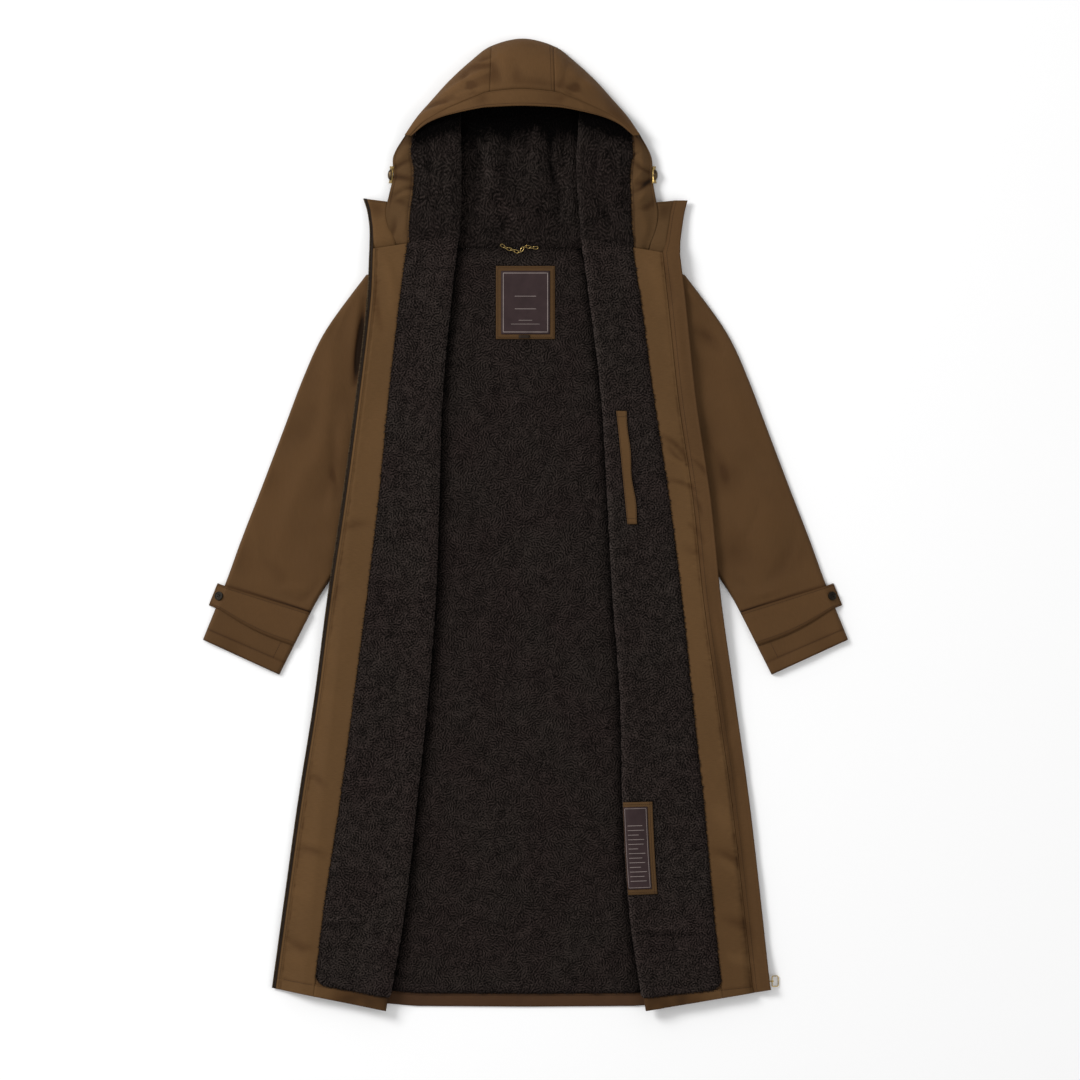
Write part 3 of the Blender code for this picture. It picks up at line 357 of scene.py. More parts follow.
def spread_to(tree, value, low, high, start=0.0, end=1.0):
    limits = {"Value": value, "From Min": start, "From Max": end, "To Min": low, "To Max": high}
    return fill(tree, tree.nodes.new("ShaderNodeMapRange"), limits)["Result"]


def bumped(tree, height, strength, distance):
    inputs = {"Height": height, "Strength": strength, "Distance": distance}
    return fill(tree, tree.nodes.new("ShaderNodeBump"), inputs)["Normal"]


def worked_out(tree, operation, *values):
    node = tree.nodes.new("ShaderNodeMath")
    node.operation = operation
    return fill(tree, node, dict(enumerate(values)))["Value"]


def added(tree, one, two):
    return worked_out(tree, "ADD", one, two)


def attribute_of(tree, name):
    node = tree.nodes.new("ShaderNodeAttribute")
    node.attribute_name = name
    return node.outputs["Fac"]


print("a plain material has", len(bpy.data.materials["pale_paper"].node_tree.nodes), "nodes")


# %% Proofed cotton
def proofed_cotton(name, colour, rough=0.7):
    made, tree, shader = shader_of(name)
    slubs = noise_of(tree, 1.0, 2.0, "UV", (90, 900, 1))
    blotch = added(tree, noise_of(tree, 5.5, 4.0), slubs)
    dark, pale = [c * 0.87 for c in colour], [min(c * 1.13, 1) for c in colour]
    tone = ramp_of(tree, spread_to(tree, blotch, 0, 1, 0.65, 1.35), [(0, dark), (1, pale)])
    # Painted light and shade: this ramp darkens the cotton in troughs, seams and shadows and makes it paler on
    # ridges, by a painted shading attribute that each cloth sets.
    shade = [(0, (0.15, 0.13, 0.11)), (0.25, (0.62, 0.56, 0.50)), (0.5, (1, 1, 1)), (1, (1.14, 1.13, 1.12))]
    painted_light = ramp_of(tree, attribute_of(tree, "painted_shading"), shade)
    threads = []
    for direction in ("X", "Y"):
        wave = tree.nodes.new("ShaderNodeTexWave")
        wave.bands_direction = direction
        place = tree.nodes.new("ShaderNodeTexCoord").outputs["UV"]
        threads.append(fill(tree, wave, {"Vector": place, "Scale": 560.0, "Distortion": 0.6})["Fac"])
    weave = added(tree, added(tree, *threads), spread_to(tree, noise_of(tree, 320.0, 2.0), 0, 1.6))
    fill(tree, shader, {
        "Base Color": multiplied(tree, tone, painted_light),
        "Roughness": spread_to(tree, noise_of(tree, 30.0), rough - 0.08, rough + 0.1),
        "Specular IOR Level": 0.09,
        "Normal": bumped(tree, weave, 0.4, 0.00018),
    })
    return made


COTTON = proofed_cotton("proofed_cotton", (0.0850, 0.0425, 0.0158))
HOOD_COTTON = proofed_cotton("hood_cotton", (0.0965, 0.0488, 0.0182))
FACING_COTTON = proofed_cotton("facing_cotton", (0.1000, 0.0520, 0.0196), 0.72)
PATCH_COTTON = proofed_cotton("patch_cotton", (0.0790, 0.0418, 0.0163), 0.72)
BAND_COTTON = proofed_cotton("band_cotton", (0.057, 0.0275, 0.0125))
print("cottons:", len([m for m in bpy.data.materials if "cotton" in m.name]))


# %% Curly fleece
def worms_of(tree, wave, stretch, along):
    """Short parallel waves of one length that turn about: the look of a curly pile from above."""
    turned = spread_to(tree, noise_of(tree, 30.0, 1.0), 0, 12.0)
    return fill(tree, tree.nodes.new("ShaderNodeTexGabor"), {
        "Vector": placed_at(tree, "Object", stretch),
        "Scale": 0.5 / wave,
        "Frequency": 2.0,
        "Anisotropy": along,
        "Orientation": turned,
    })["Value"]


def cracks_of(tree, scale, stretch):
    """Thin winding lines, where a noise passes through its middle value: 0 in a line, 1 beside it."""
    noise = noise_of(tree, scale, 1.5, "Object", stretch, 0.5)
    away = worked_out(tree, "ABSOLUTE", worked_out(tree, "SUBTRACT", noise, 0.5))
    broken = spread_to(tree, noise_of(tree, 48.0, 2.0), 0.0, 1.0, 0.46, 0.62)
    return spread_to(tree, added(tree, spread_to(tree, away, 0, 1, 0, 0.06), broken), 0, 1)


def greys(tree, value, stops):
    return ramp_of(tree, value, [(place, (grey, grey, grey)) for place, grey in stops])


def curly_fleece(name, lift=1.0, wave=0.0043, stretch=(1, 1, 1), deep=0.22, crack=0.55, uneven=0.2, along=0.25):
    made, tree, shader = shader_of(name)
    fuzz = spread_to(tree, noise_of(tree, 500.0, 2.0), -0.08, 0.08)
    broken = added(tree, fuzz, spread_to(tree, noise_of(tree, 75.0, 2.0), -0.8 * uneven, uneven, 0.35, 0.65))
    yarn = added(tree, spread_to(tree, worms_of(tree, wave, stretch, along), 0, 1, 0.32, 0.68), broken)
    # Painted shade by the height of the pile: nearly black between the curls, dark brown on their tops; the cloths
    # also paint shade here under the brim and beside the rolls, and a highlight along the rolls.
    painted_pile_shade = added(tree, spread_to(tree, attribute_of(tree, "painted_pile_shade"), 0.0, 0.85), fuzz)
    stops = [(0.0, (0.0012, 0.0009, 0.0009)), (0.15, (0.0078, 0.0060, 0.0054))]
    stops += [(0.5, (0.0205, 0.0158, 0.0140)), (1.0, (0.040, 0.0322, 0.0290))]
    curls = ramp_of(tree, painted_pile_shade, [(place, [c * lift for c in colour]) for place, colour in stops])
    # Painted shade in the worms' grooves, as dark as `deep`, and painted highlight on their ridges.
    lines = greys(tree, yarn, [(0.12, deep), (0.45, 0.8), (0.65, 1.1), (0.95, 1.6)])
    splits = cracks_of(tree, 0.4 / wave, stretch)
    patches = ramp_of(tree, noise_of(tree, 11.0, 3.0), [(0.35, (1.0, 0.92, 0.93)), (0.65, (1.0, 1.0, 0.98))])
    # The thin cracks between the curls get painted shade, as dark as `crack`.
    tone = multiplied(tree, multiplied(tree, curls, lines), greys(tree, splits, [(0.0, crack), (0.7, 1.0)]))
    hairs = greys(tree, noise_of(tree, 1500.0, 3.0), [(0.3, 0.55), (0.5, 1.0), (0.7, 1.5)])
    fill(tree, shader, {
        "Base Color": multiplied(tree, multiplied(tree, tone, patches), hairs),
        "Roughness": 1.0,
        "Specular IOR Level": 0.03,
        "Sheen Weight": 0.025,
        "Sheen Roughness": 0.5,
        "Sheen Tint": (0.6, 0.45, 0.40, 1),
        "Normal": bumped(tree, added(tree, yarn, splits), 1.0, 0.0013),
    })
    return made


FLEECE = curly_fleece("curly_fleece", 1.14, uneven=0.14)
BACK_FLEECE = curly_fleece("back_fleece", 1.03, 0.0043, deep=0.26, crack=0.7, uneven=0.12, along=0.45)
HOOD_FLEECE = curly_fleece("hood_fleece", 0.78, 0.0043, (1, 0.65, 1), deep=0.42, crack=0.3, uneven=0.1, along=0.5)
print("fleeces:", FLEECE.name, BACK_FLEECE.name, HOOD_FLEECE.name)


# %% Tape, label and thread
def woven(name, colour, thread=2600.0):
    """Tape and label: a tight satin weave with a little sheen."""
    made, tree, shader = shader_of(name)
    stops = [(0.3, [c * 0.85 for c in colour]), (0.7, [c * 1.12 for c in colour])]
    fill(tree, shader, {
        "Base Color": ramp_of(tree, noise_of(tree, 60.0), stops),
        "Roughness": spread_to(tree, noise_of(tree, 200.0), 0.5, 0.7),
        "Specular IOR Level": 0.12,
        "Normal": bumped(tree, noise_of(tree, thread, 1.0), 0.3, 0.0001),
    })
    return made


TAPE = woven("zip_tape_weave", (0.020, 0.0125, 0.0080))
LABEL_CLOTH = woven("label_weave", (0.032, 0.0190, 0.0195))
LABEL_LINE = woven("label_line", (0.26, 0.215, 0.20))
THREAD = woven("sewing_thread", (0.036, 0.0180, 0.0085), 3500.0)
print("woven:", TAPE.name, LABEL_CLOTH.name, LABEL_LINE.name, THREAD.name)


# %% Hard materials
def metal(name, colour, tarnish, rough):
    """Brass that is bright where it rubs and darker in blotches elsewhere."""
    made, tree, shader = shader_of(name)
    fill(tree, shader, {
        "Base Color": ramp_of(tree, noise_of(tree, 260.0, 4.0), [(0.36, tarnish), (0.62, colour)]),
        "Roughness": spread_to(tree, noise_of(tree, 420.0), rough - 0.06, rough + 0.14),
        "Metallic": 1.0,
        "Normal": bumped(tree, noise_of(tree, 1500.0, 2.0), 0.12, 0.0001),
    })
    return made


BRASS = metal("bright_brass", (0.62, 0.45, 0.17), (0.26, 0.175, 0.06), 0.26)
OLD_BRASS = metal("old_brass", (0.36, 0.25, 0.085), (0.13, 0.085, 0.03), 0.34)
DARK_BRASS = metal("dark_brass", (0.11, 0.075, 0.04), (0.035, 0.024, 0.015), 0.38)
HORN, horn_tree, horn_shader = shader_of("dark_horn")
streaks = [(0.3, (0.005, 0.0035, 0.002)), (0.75, (0.020, 0.013, 0.006))]
fill(horn_tree, horn_shader, {
    "Base Color": ramp_of(horn_tree, noise_of(horn_tree, 330.0, 5.0), streaks),
    "Roughness": spread_to(horn_tree, noise_of(horn_tree, 700.0), 0.40, 0.60),
    "Specular IOR Level": 0.12,
    "Normal": bumped(horn_tree, noise_of(horn_tree, 1200.0), 0.1, 0.0001),
})
print("materials:", len([m for m in bpy.data.materials if m.use_nodes]))

# %% [markdown]
# ## From two grids to a piece of cloth
#
# Every cloth here is a thin closed shell: a grid of points for its upper face, another for its under face, a rim
# between them and a cap at each end. Building it from two grids keeps the wall's thickness under control, so
# layers that lie on each other never cut through. The helper also measures the flat cut, from the smooth
# surface before curls and creases are added, as a tailor would measure the pattern piece.

# %% Faces and mesh of a shell
def joined_faces(top, under):
    """Faces of a closed shell over two grids with as many rows each."""
    rows, wide, low = top.shape[0], top.shape[1], under.shape[1]
    a = np.arange(rows * wide).reshape(rows, wide)
    b = rows * wide + np.arange(rows * low).reshape(rows, low)

    def quads(g):
        return np.stack([g[:-1, :-1], g[:-1, 1:], g[1:, 1:], g[1:, :-1]], -1).reshape(-1, 4)

    rims = [
        np.stack([a[:-1, 0], a[1:, 0], b[1:, 0], b[:-1, 0]], -1),
        np.stack([a[1:, -1], a[:-1, -1], b[:-1, -1], b[1:, -1]], -1),
    ]
    caps = [np.concatenate([a[0, ::-1], b[0]]), np.concatenate([a[-1], b[-1, ::-1]])]
    return np.concatenate([quads(a), quads(b)[:, ::-1], *rims]), caps


def mesh_object(name, points, quads, caps, material, flat=0):
    """A smooth mesh object from points in metres, faces outwards; the last `flat` faces are not smoothed."""
    fan = [np.stack([np.full(len(c) - 2, c[0]), c[1:-1], c[2:]], -1) for c in caps]
    thirds = np.concatenate([quads[:, [0, 1, 2]], quads[:, [0, 2, 3]], *fan])
    p, q, r = points[thirds[:, 0]], points[thirds[:, 1]], points[thirds[:, 2]]
    if np.einsum("ij,ij->i", p, np.cross(q, r)).sum() < 0:
        quads, caps = quads[:, ::-1], [c[::-1] for c in caps]
    sizes = np.concatenate([np.full(len(quads), 4), [len(c) for c in caps]]).astype(np.int32)
    loops = np.concatenate([quads.ravel(), *caps]).astype(np.int32)
    mesh = bpy.data.meshes.new(name)
    mesh.vertices.add(len(points))
    mesh.vertices.foreach_set("co", points.astype(np.float32).ravel())
    mesh.loops.add(len(loops))
    mesh.loops.foreach_set("vertex_index", loops)
    mesh.polygons.add(len(sizes))
    mesh.polygons.foreach_set("loop_start", np.concatenate([[0], np.cumsum(sizes)[:-1]]).astype(np.int32))
    mesh.polygons.foreach_set("loop_total", sizes)
    mesh.polygons.foreach_set("use_smooth", np.arange(len(sizes)) < len(sizes) - flat)
    mesh.update(calc_edges=True)
    mesh.materials.append(material)
    made = bpy.data.objects.new(name, mesh)
    bpy.context.scene.collection.objects.link(made)
    return made, loops


small = np.zeros((3, 3, 3))
print("a shell of two 3 x 3 grids has", sum(map(len, joined_faces(small, small))), "faces")

# %% The cloth builder
cuts, tops = {}, {}
PLAIN_PILE_SHADE, PLAIN_SHADING = 0.35, 0.5


def steps_along(grid, axis):
    gaps = np.linalg.norm(np.diff(grid, axis=axis), axis=-1)
    start = np.zeros_like(np.take(gaps, [0], axis=axis))
    return np.concatenate([start, np.cumsum(gaps, axis=axis)], axis=axis)


def cloth(node, top, under, material, below, held="laid", painted_pile_shade=None, painted_shading=None, smooth=None, crisp=False):
    """A piece of cloth for a CAD node from its two grids, in millimetres as (x, up, z); `below`, the cloth it lies
    on, is not used.
    """
    points = (np.concatenate([top.reshape(-1, 3), under.reshape(-1, 3)]) - (0, MIDDLE_UP, 0)) * MM
    quads, caps = joined_faces(top, under)
    made, loops = mesh_object(node + "_cloth", points, quads, caps, material, 2 * len(top) * crisp)
    mesh = made.data
    hidden = under.shape[0] * under.shape[1]
    # Both attributes carry painted shade: the fleece's darkness between the curls and under the brim, and the
    # cotton's shade in troughs and highlight on ridges.
    for name, values, rest in (("painted_pile_shade", painted_pile_shade, PLAIN_PILE_SHADE), ("painted_shading", painted_shading, PLAIN_SHADING)):
        layer = mesh.attributes.new(name, "FLOAT", "POINT")
        upper = np.full(top.shape[:2], rest) if values is None else values
        layer.data.foreach_set("value", np.concatenate([upper.ravel(), np.full(hidden, rest)]).astype(np.float32))
    flat = [np.stack([steps_along(g, 1), steps_along(g, 0)], -1).reshape(-1, 2) for g in (top, under)]
    thread_map = mesh.uv_layers.new(name="thread")
    thread_map.uv.foreach_set("vector", (np.concatenate(flat)[loops] * MM).astype(np.float32).ravel())
    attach(made, "coat")
    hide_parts(node)
    cuts[node] = (made, top if smooth is None else smooth, held, below)
    tops[node] = top
    return made


print("plain cloth has tip", PLAIN_PILE_SHADE, "and wear", PLAIN_SHADING)

# %% Small tools for grids
# Millimetres of crease height that give the full painted shade or painted highlight.
SHADING_DEPTH = 3.4


def thinned(grid, step):
    """Every so many columns of a grid, and its last one: enough for a side that nobody sees."""
    return np.concatenate([grid[:, :-1:step], grid[:, -1:]], 1)


def raised(grid, height):
    lifted = grid.copy()
    lifted[..., 2] += height
    return lifted


def laid_at(x, up, z):
    """A grid of points at a height above the floor."""
    return np.stack([x, up, z + 0 * x], -1)


def painted_shading_of(height):
    """Painted shading for the cotton's colour: below a half in troughs, a painted shade, above it on ridges, a
    painted highlight.
    """
    return np.clip(PLAIN_SHADING + height / SHADING_DEPTH, 0, 1)


print("wear on a ridge of a millimetre", painted_shading_of(1.0).round(2))

# %% [markdown]
# ## A front that is turned back
#
# Each front starts at the side seam, runs to the middle under itself, bends round a soft roll and comes back on
# top with its fleece up. A section across it is the same path every time, so one class works out all its
# sections at once: rows of points up the coat, and along each row the distance from the roll and the height.

# %% Tables of the turned-back layers
# A front or hood side: roll line, free edge, facing width, edge height, wrap to the floor
FOLD = ("roll_up", "roll_out", "edge_up", "edge_out", "facing", "edge_z", "wrap")
LEFT_FRONT = [
    (0.8, 225, 39, 416, 70, 2.6, 1),
    (171, 197, 184, 396, 68, 2.6, 1),
    (341, 178, 348, 373, 70, 2.6, 1),
    (510, 160, 512, 347, 66, 4.0, 1),
    (676, 147, 676, 325.5, 66, 11.5, 1),
    (840, 141, 840, 301, 61, 13.2, 1),
    (1005, 136, 1004, 279, 55, 16.0, 0),
    (1176, 120.5, 1168, 260, 55, 16.2, 0),
    (1273, 109, 1251, 256, 64, 14.0, 0),
]
RIGHT_FRONT = [
    (0.8, 193, 36, 403, 80, 2.2, 1),
    (22.8, 190, 46, 401, 80, 2.25, 1),
    (175, 169, 184, 386, 80, 2.6, 1),
    (343, 159, 348, 367, 76, 2.6, 1),
    (512, 155, 512, 344, 71, 4.0, 1),
    (676, 143, 676, 321, 65, 12.0, 1),
    (841, 134, 840, 304, 69, 14.2, 1),
    (1007, 124, 1004, 280, 70, 16.2, 0),
    (1174, 104, 1168, 262.5, 75, 16.2, 0),
    (1268, 91, 1241, 253.5, 80, 15.0, 0),
]
LEFT_HOOD = [
    (1273.8, 108.5, 1259.5, 211, 21, 11.0, 1),
    (1304, 106, 1291, 225.5, 36, 10.0, 1),
    (1327, 105, 1314, 229, 42, 9.5, 1),
    (1358, 105, 1340, 224, 41, 9.5, 1),
    (1397, 105, 1371, 217, 36, 9.5, 1),
    (1440, 106, 1404, 216.5, 31, 10.5, 1),
    (1496, 106, 1443, 194, 18, 12.0, 1),
]
RIGHT_HOOD = [
    (1269.5, 90.5, 1251.3, 201, 24, 11.0, 1),
    (1302, 89, 1286, 214, 41, 10.0, 1),
    (1325, 87, 1312, 217, 45, 9.5, 1),
    (1358, 84.5, 1338, 213, 42, 9.5, 1),
    (1397, 83, 1369, 208, 38, 9.5, 1),
    (1440, 86, 1402, 206.5, 33, 10.5, 1),
    (1496, 89, 1442, 186, 16, 12.0, 1),
]
print("sections of the fronts:", len(LEFT_FRONT), "and", len(RIGHT_FRONT))


# %% The fold
def moved_out(s, z, distance):
    """Section paths moved sideways by a distance, to the fleece's side if it is positive."""
    last = s.shape[1] - 1
    before, after = np.maximum(np.arange(last + 1) - 1, 0), np.minimum(np.arange(last + 1) + 1, last)
    ds, dz = s[:, after] - s[:, before], z[:, after] - z[:, before]
    length = np.hypot(ds, dz)
    return s - dz / length * distance, z + ds / length * distance


class Fold:
    def __init__(self, rows, sign, strip, side, creases):
        self.sign, self.strip, self.side, self.creases = sign, strip, side, creases
        self.column = columns(FOLD, rows)
        self.start, self.end = rows[0][0], rows[-1][0]

    def frame(self, up):
        """Start, direction and length of the sections at these heights of the roll line."""
        roll = np.stack([self.sign * self.column["roll_out"](up), up], -1)
        edge = np.stack([self.sign * self.column["edge_out"](up), self.column["edge_up"](up)], -1)
        width = np.linalg.norm(edge - roll, axis=-1)
        return roll, (edge - roll) / width[:, None], width

    def place(self, up, s, z):
        roll, along, _ = self.frame(up)
        flat = roll[:, None] + along[:, None] * s[..., None]
        return np.concatenate([flat, z[..., None]], -1)

    def marks(self, up):
        """Distances from the roll: under layer's end, facing, start of the flap's fall, edge strip, edge."""
        roll, along, width = self.frame(up)
        side = np.zeros_like(up)
        for _ in range(4):
            side = (self.side(roll[:, 1] + along[:, 1] * side) - abs(roll[:, 0])) / abs(along[:, 0])
        facing, strip = width - self.column["facing"](up), width - self.strip
        return side, facing, np.minimum(np.maximum(side + 4, facing + 1), strip - 1), strip, width

    def lines(self, up, s):
        """The creases alone, for the painted shade and highlight in them."""
        return relief(self.creases, self.place(up, s, np.zeros_like(s)))

    def bumps(self, up, s):
        """Creases and soft waves of the turned-back layer, which die away towards the roll."""
        flat = self.place(up, s, np.zeros_like(s))
        soft = 0.5 * waves_at(flat[..., 0], flat[..., 1])
        return (np.maximum(1.6 * relief(self.creases, flat) + soft, -1.1) + 0.6) * ease((s - BEND) / 40)

    def height(self, up, s):
        """Height of the turned-back shell's middle."""
        _, _, fall, _, width = self.marks(up)
        z = REST + (ROLL_TOP - REST) * bell(s - BEND, ROLL_FALL)
        end = width - self.strip / 2
        drop = ease((s - fall[:, None]) / (end - fall)[:, None])
        return z + (self.column["edge_z"](up)[:, None] - z) * drop + self.bumps(up, s)

    def path(self, up, lower, bend, outs):
        """The shell's middle from the side seam round the roll to the points outs, and how far it has turned."""
        side = self.marks(up)[0][:, None]
        below = side - 3 + (BEND - side + 3) * np.linspace(0, 1, lower)
        a = np.pi * np.arange(1, bend + 1) / (bend + 1) + np.zeros((len(up), 1))
        s = np.concatenate([below, BEND - LOOP * np.sin(a), outs], 1)
        z = np.concatenate([np.full_like(below, LOW), LOW + LOOP * (1 - np.cos(a)), self.height(up, outs)], 1)
        turn = np.concatenate([np.zeros(lower), np.arange(1, bend + 1) / (bend + 1), np.ones(outs.shape[1])])
        return s, z, turn

    def outs(self, up, count, past=0.0):
        """Even points from the bend to the fleece's free edge, or a little past it."""
        facing = self.marks(up)[1][:, None] + past
        return BEND + (facing - BEND) * np.linspace(0, 1, count)

    def on_cover(self, up, start, end, count, lift):
        """A grid that lies `lift` above the fleece, from start to end round the roll, from the bend's top."""
        lower, bend = 6, 21
        s, z, turn = self.path(up, lower, bend, self.outs(up, 60))
        s, z = moved_out(s, z, SHELL / 2 + GAP + PILE_UNDER + (PILE_TOP - PILE_UNDER) * turn + lift)
        arc = np.concatenate([np.zeros((len(up), 1)), np.cumsum(np.hypot(np.diff(s), np.diff(z)), 1)], 1)
        arc -= arc[:, [lower + bend]]
        picks = np.linspace(np.broadcast_to(start, len(up)), np.broadcast_to(end, len(up)), count, axis=1)
        s = np.stack([np.interp(*row) for row in zip(picks, arc, s)])
        z = np.stack([np.interp(*row) for row in zip(picks, arc, z)])
        return self.place(up, s, z)


print("the bend starts", round(BEND, 1), "mm from the roll")


# %% The four folds
def rising(start, end, step, fine=0.0):
    """Heights from start to end; over the first `fine` millimetres they are 2 mm apart."""
    near = np.arange(start, start + fine, 2.0)
    far = np.linspace(start + fine, end, max(int((end - start - fine) / step), 2))
    return np.concatenate([near, far])


DRAWN_IN, DRAWN_FROM, DRAWN_OVER = 12, 1203, 14


def front_side(up):
    """The side seam, drawn in at the shoulder, so that the turned-back front covers it."""
    return side_out(up) - DRAWN_IN * ease((up - DRAWN_FROM) / DRAWN_OVER)


left_front = Fold(LEFT_FRONT, -1, ZIP_TAPE, front_side, LEFT_CREASES)
right_front = Fold(RIGHT_FRONT, 1, PLACKET, front_side, RIGHT_CREASES)
left_hood = Fold(LEFT_HOOD, -1, HOOD_RIM, hood_side_out, HOOD_LEFT_CREASES)
right_hood = Fold(RIGHT_HOOD, 1, HOOD_RIM, hood_side_out, HOOD_RIGHT_CREASES)
print("left front is", round(float(left_front.frame(np.array([600.0]))[2][0])), "mm from roll to edge at the waist")

# %% [markdown]
# ## The shells of the fronts and of the hood's sides
#
# The outer cotton shows only at its edges, and from below, but it carries the fleece and the facings, so it
# comes first. At the side seam it turns down to the floor beside the back, and its free edge lies on the sleeve
# or on the floor, as a front does that has been thrown open.

# %% Shells round the roll
def fold_shell(node, fold, step, below):
    up = rising(fold.start, fold.end, step)
    side, _, _, _, width = (mark[:, None] for mark in fold.marks(up))
    outs = BEND + (width - 2 - BEND) * np.linspace(0, 1, 30)
    s, z, _ = fold.path(up, 9, 7, outs)
    wrap = fold.column["wrap"](up)[:, None]
    foot = LOW - (LOW - SHELL / 2 - 0.1) * wrap
    bent = LOW - 2.2 * wrap
    seam = side + 0.9
    s = np.concatenate([seam, seam - (1 - wrap) / 2, seam - (1 - wrap), s], 1)
    z = np.concatenate([foot, (foot + bent) / 2, bent, z], 1)
    top, under = (fold.place(up, *moved_out(s, z, d)) for d in (SHELL / 2, -SHELL / 2))
    return cloth(node, top, under, COTTON, below, "folded")


for name, fold in (("left", left_front), ("right", right_front)):
    fold_shell(f"front_shell_{name}", fold, step=12.0, below="back_lining_cloth")
for name, fold in (("left", left_hood), ("right", right_hood)):
    fold_shell(f"hood_side_shell_{name}", fold, step=6.0, below="hood_back_lining_cloth")
print("fold shells:", len(cuts))

# %% [markdown]
# ## Fleece on the fronts
#
# The fleece follows the shell round the roll. Its upper face gets the curls: each point moves along the section's
# normal by the height that the tile has there. Under the coat, where nobody looks, the pile lies flat. Towards
# its free edge the pile thins and gets ragged, so the border to the facing is soft and not a ruled line. Where
# the pocket welt and the care label press on it, the curls are flattened.

# %% Where the fleece is pressed or painted in shade
WELT_UP, WELT_FROM, WELT_WIDTH, WELT_LEAN = (800.0, 986.0), 31.0, 17.0, -8.0
CARE_PATCH = (192.0, 344.0, -11.0, 39.0)
BRIM_UP, BRIM_BOW = 1486, 0.0012


def within(value, start, end, soft=4.0):
    """1 between start and end, falling to 0 over `soft` millimetres outside them."""
    return ease((value - start) / soft + 1) * ease((end - value) / soft + 1)


def welt_start(up):
    return WELT_FROM - BEND + WELT_LEAN * (up - WELT_UP[0]) / (WELT_UP[1] - WELT_UP[0])


def pressed_on_right(up, arc):
    """Where the welt and the care patch lie on the right front's fleece."""
    care = within(up, *CARE_PATCH[:2]) * within(arc, *CARE_PATCH[2:])
    return np.maximum(care, within(up, *WELT_UP) * within(arc, welt_start(up), welt_start(up) + WELT_WIDTH))


def under_brim(x, up, reach):
    """1 under the brim of the hood, falling to 0 over `reach` millimetres below it: the reach of the painted shade
    there.
    """
    return ease((up - BRIM_UP + BRIM_BOW * x**2) / reach + 1)


print("pocket welt", WELT_UP[1] - WELT_UP[0], "mm long")

# %% Wrinkles in the fleece
FLEECE_WRINKLES = [
    (-336, 142, -262, 144, 2, 3.2, -1.7), (-330, 151, -270, 152, 2, 5, 0.8),
    (178, 131, 318, 127, -2, 3.2, -1.7), (186, 140, 310, 137, -2, 5, 0.8), (-62, 1470, -70, 1300, 6, 9, 1.5),
    (-22, 1480, -34, 1330, -5, 8, -1.4), (14, 1478, 6, 1350, 5, 10, 1.4), (46, 1470, 52, 1290, -6, 9, -1.5),
    (72, 1440, 66, 1310, 4, 8, 1.3), (-88, 1430, -84, 1290, 4, 7, -1.2), (-40, 1330, -8, 1270, 5, 9, 1.0),
    (30, 1320, 12, 1275, 4, 8, -1.0), (-85, 1425, -71, 1366, 4, 4, -1.6), (-76, 1432, -60, 1372, 3, 4, 1.3),
    (38, 1421, 57, 1343, -5, 4.5, -1.6), (48, 1425, 66, 1350, -4, 4.5, 1.3), (10, 1420, -20, 1385, 5, 5, -0.9),
    (22, 1340, 50, 1300, 4, 5, 1.0), (-30, 1300, -62, 1275, 4, 5, -1.0), (-162, 1430, -158, 1335, 5, 4.5, -1.5),
    (-150, 1425, -146, 1340, -4, 5, 1.2), (-136, 1440, -140, 1350, 4, 4, -1.1),
    (-172, 1360, -160, 1300, 3, 5, 1.1), (-128, 1400, -124, 1320, -3, 5, 1.2),
    (116, 1425, 107, 1335, 4, 4.5, -1.4), (126, 1420, 118, 1340, -3, 5, 1.2),
    (134, 1416, 148, 1370, 3, 4, -1.3), (142, 1425, 156, 1375, 3, 4.5, 1.1), (120, 1334, 134, 1289, 4, 5, -1.2),
    (140, 1345, 150, 1296, -4, 5, 1.2), (160, 1400, 158, 1320, 3, 5, -1.0),
]
print("wrinkles in the fleece:", len(FLEECE_WRINKLES))

# %% Fleece round the roll
CURL, CLUMP, CORNER_ROUND = 0.45, 0.24, 17.0
FRONT_ROWS, HOOD_ROWS = 530, 110


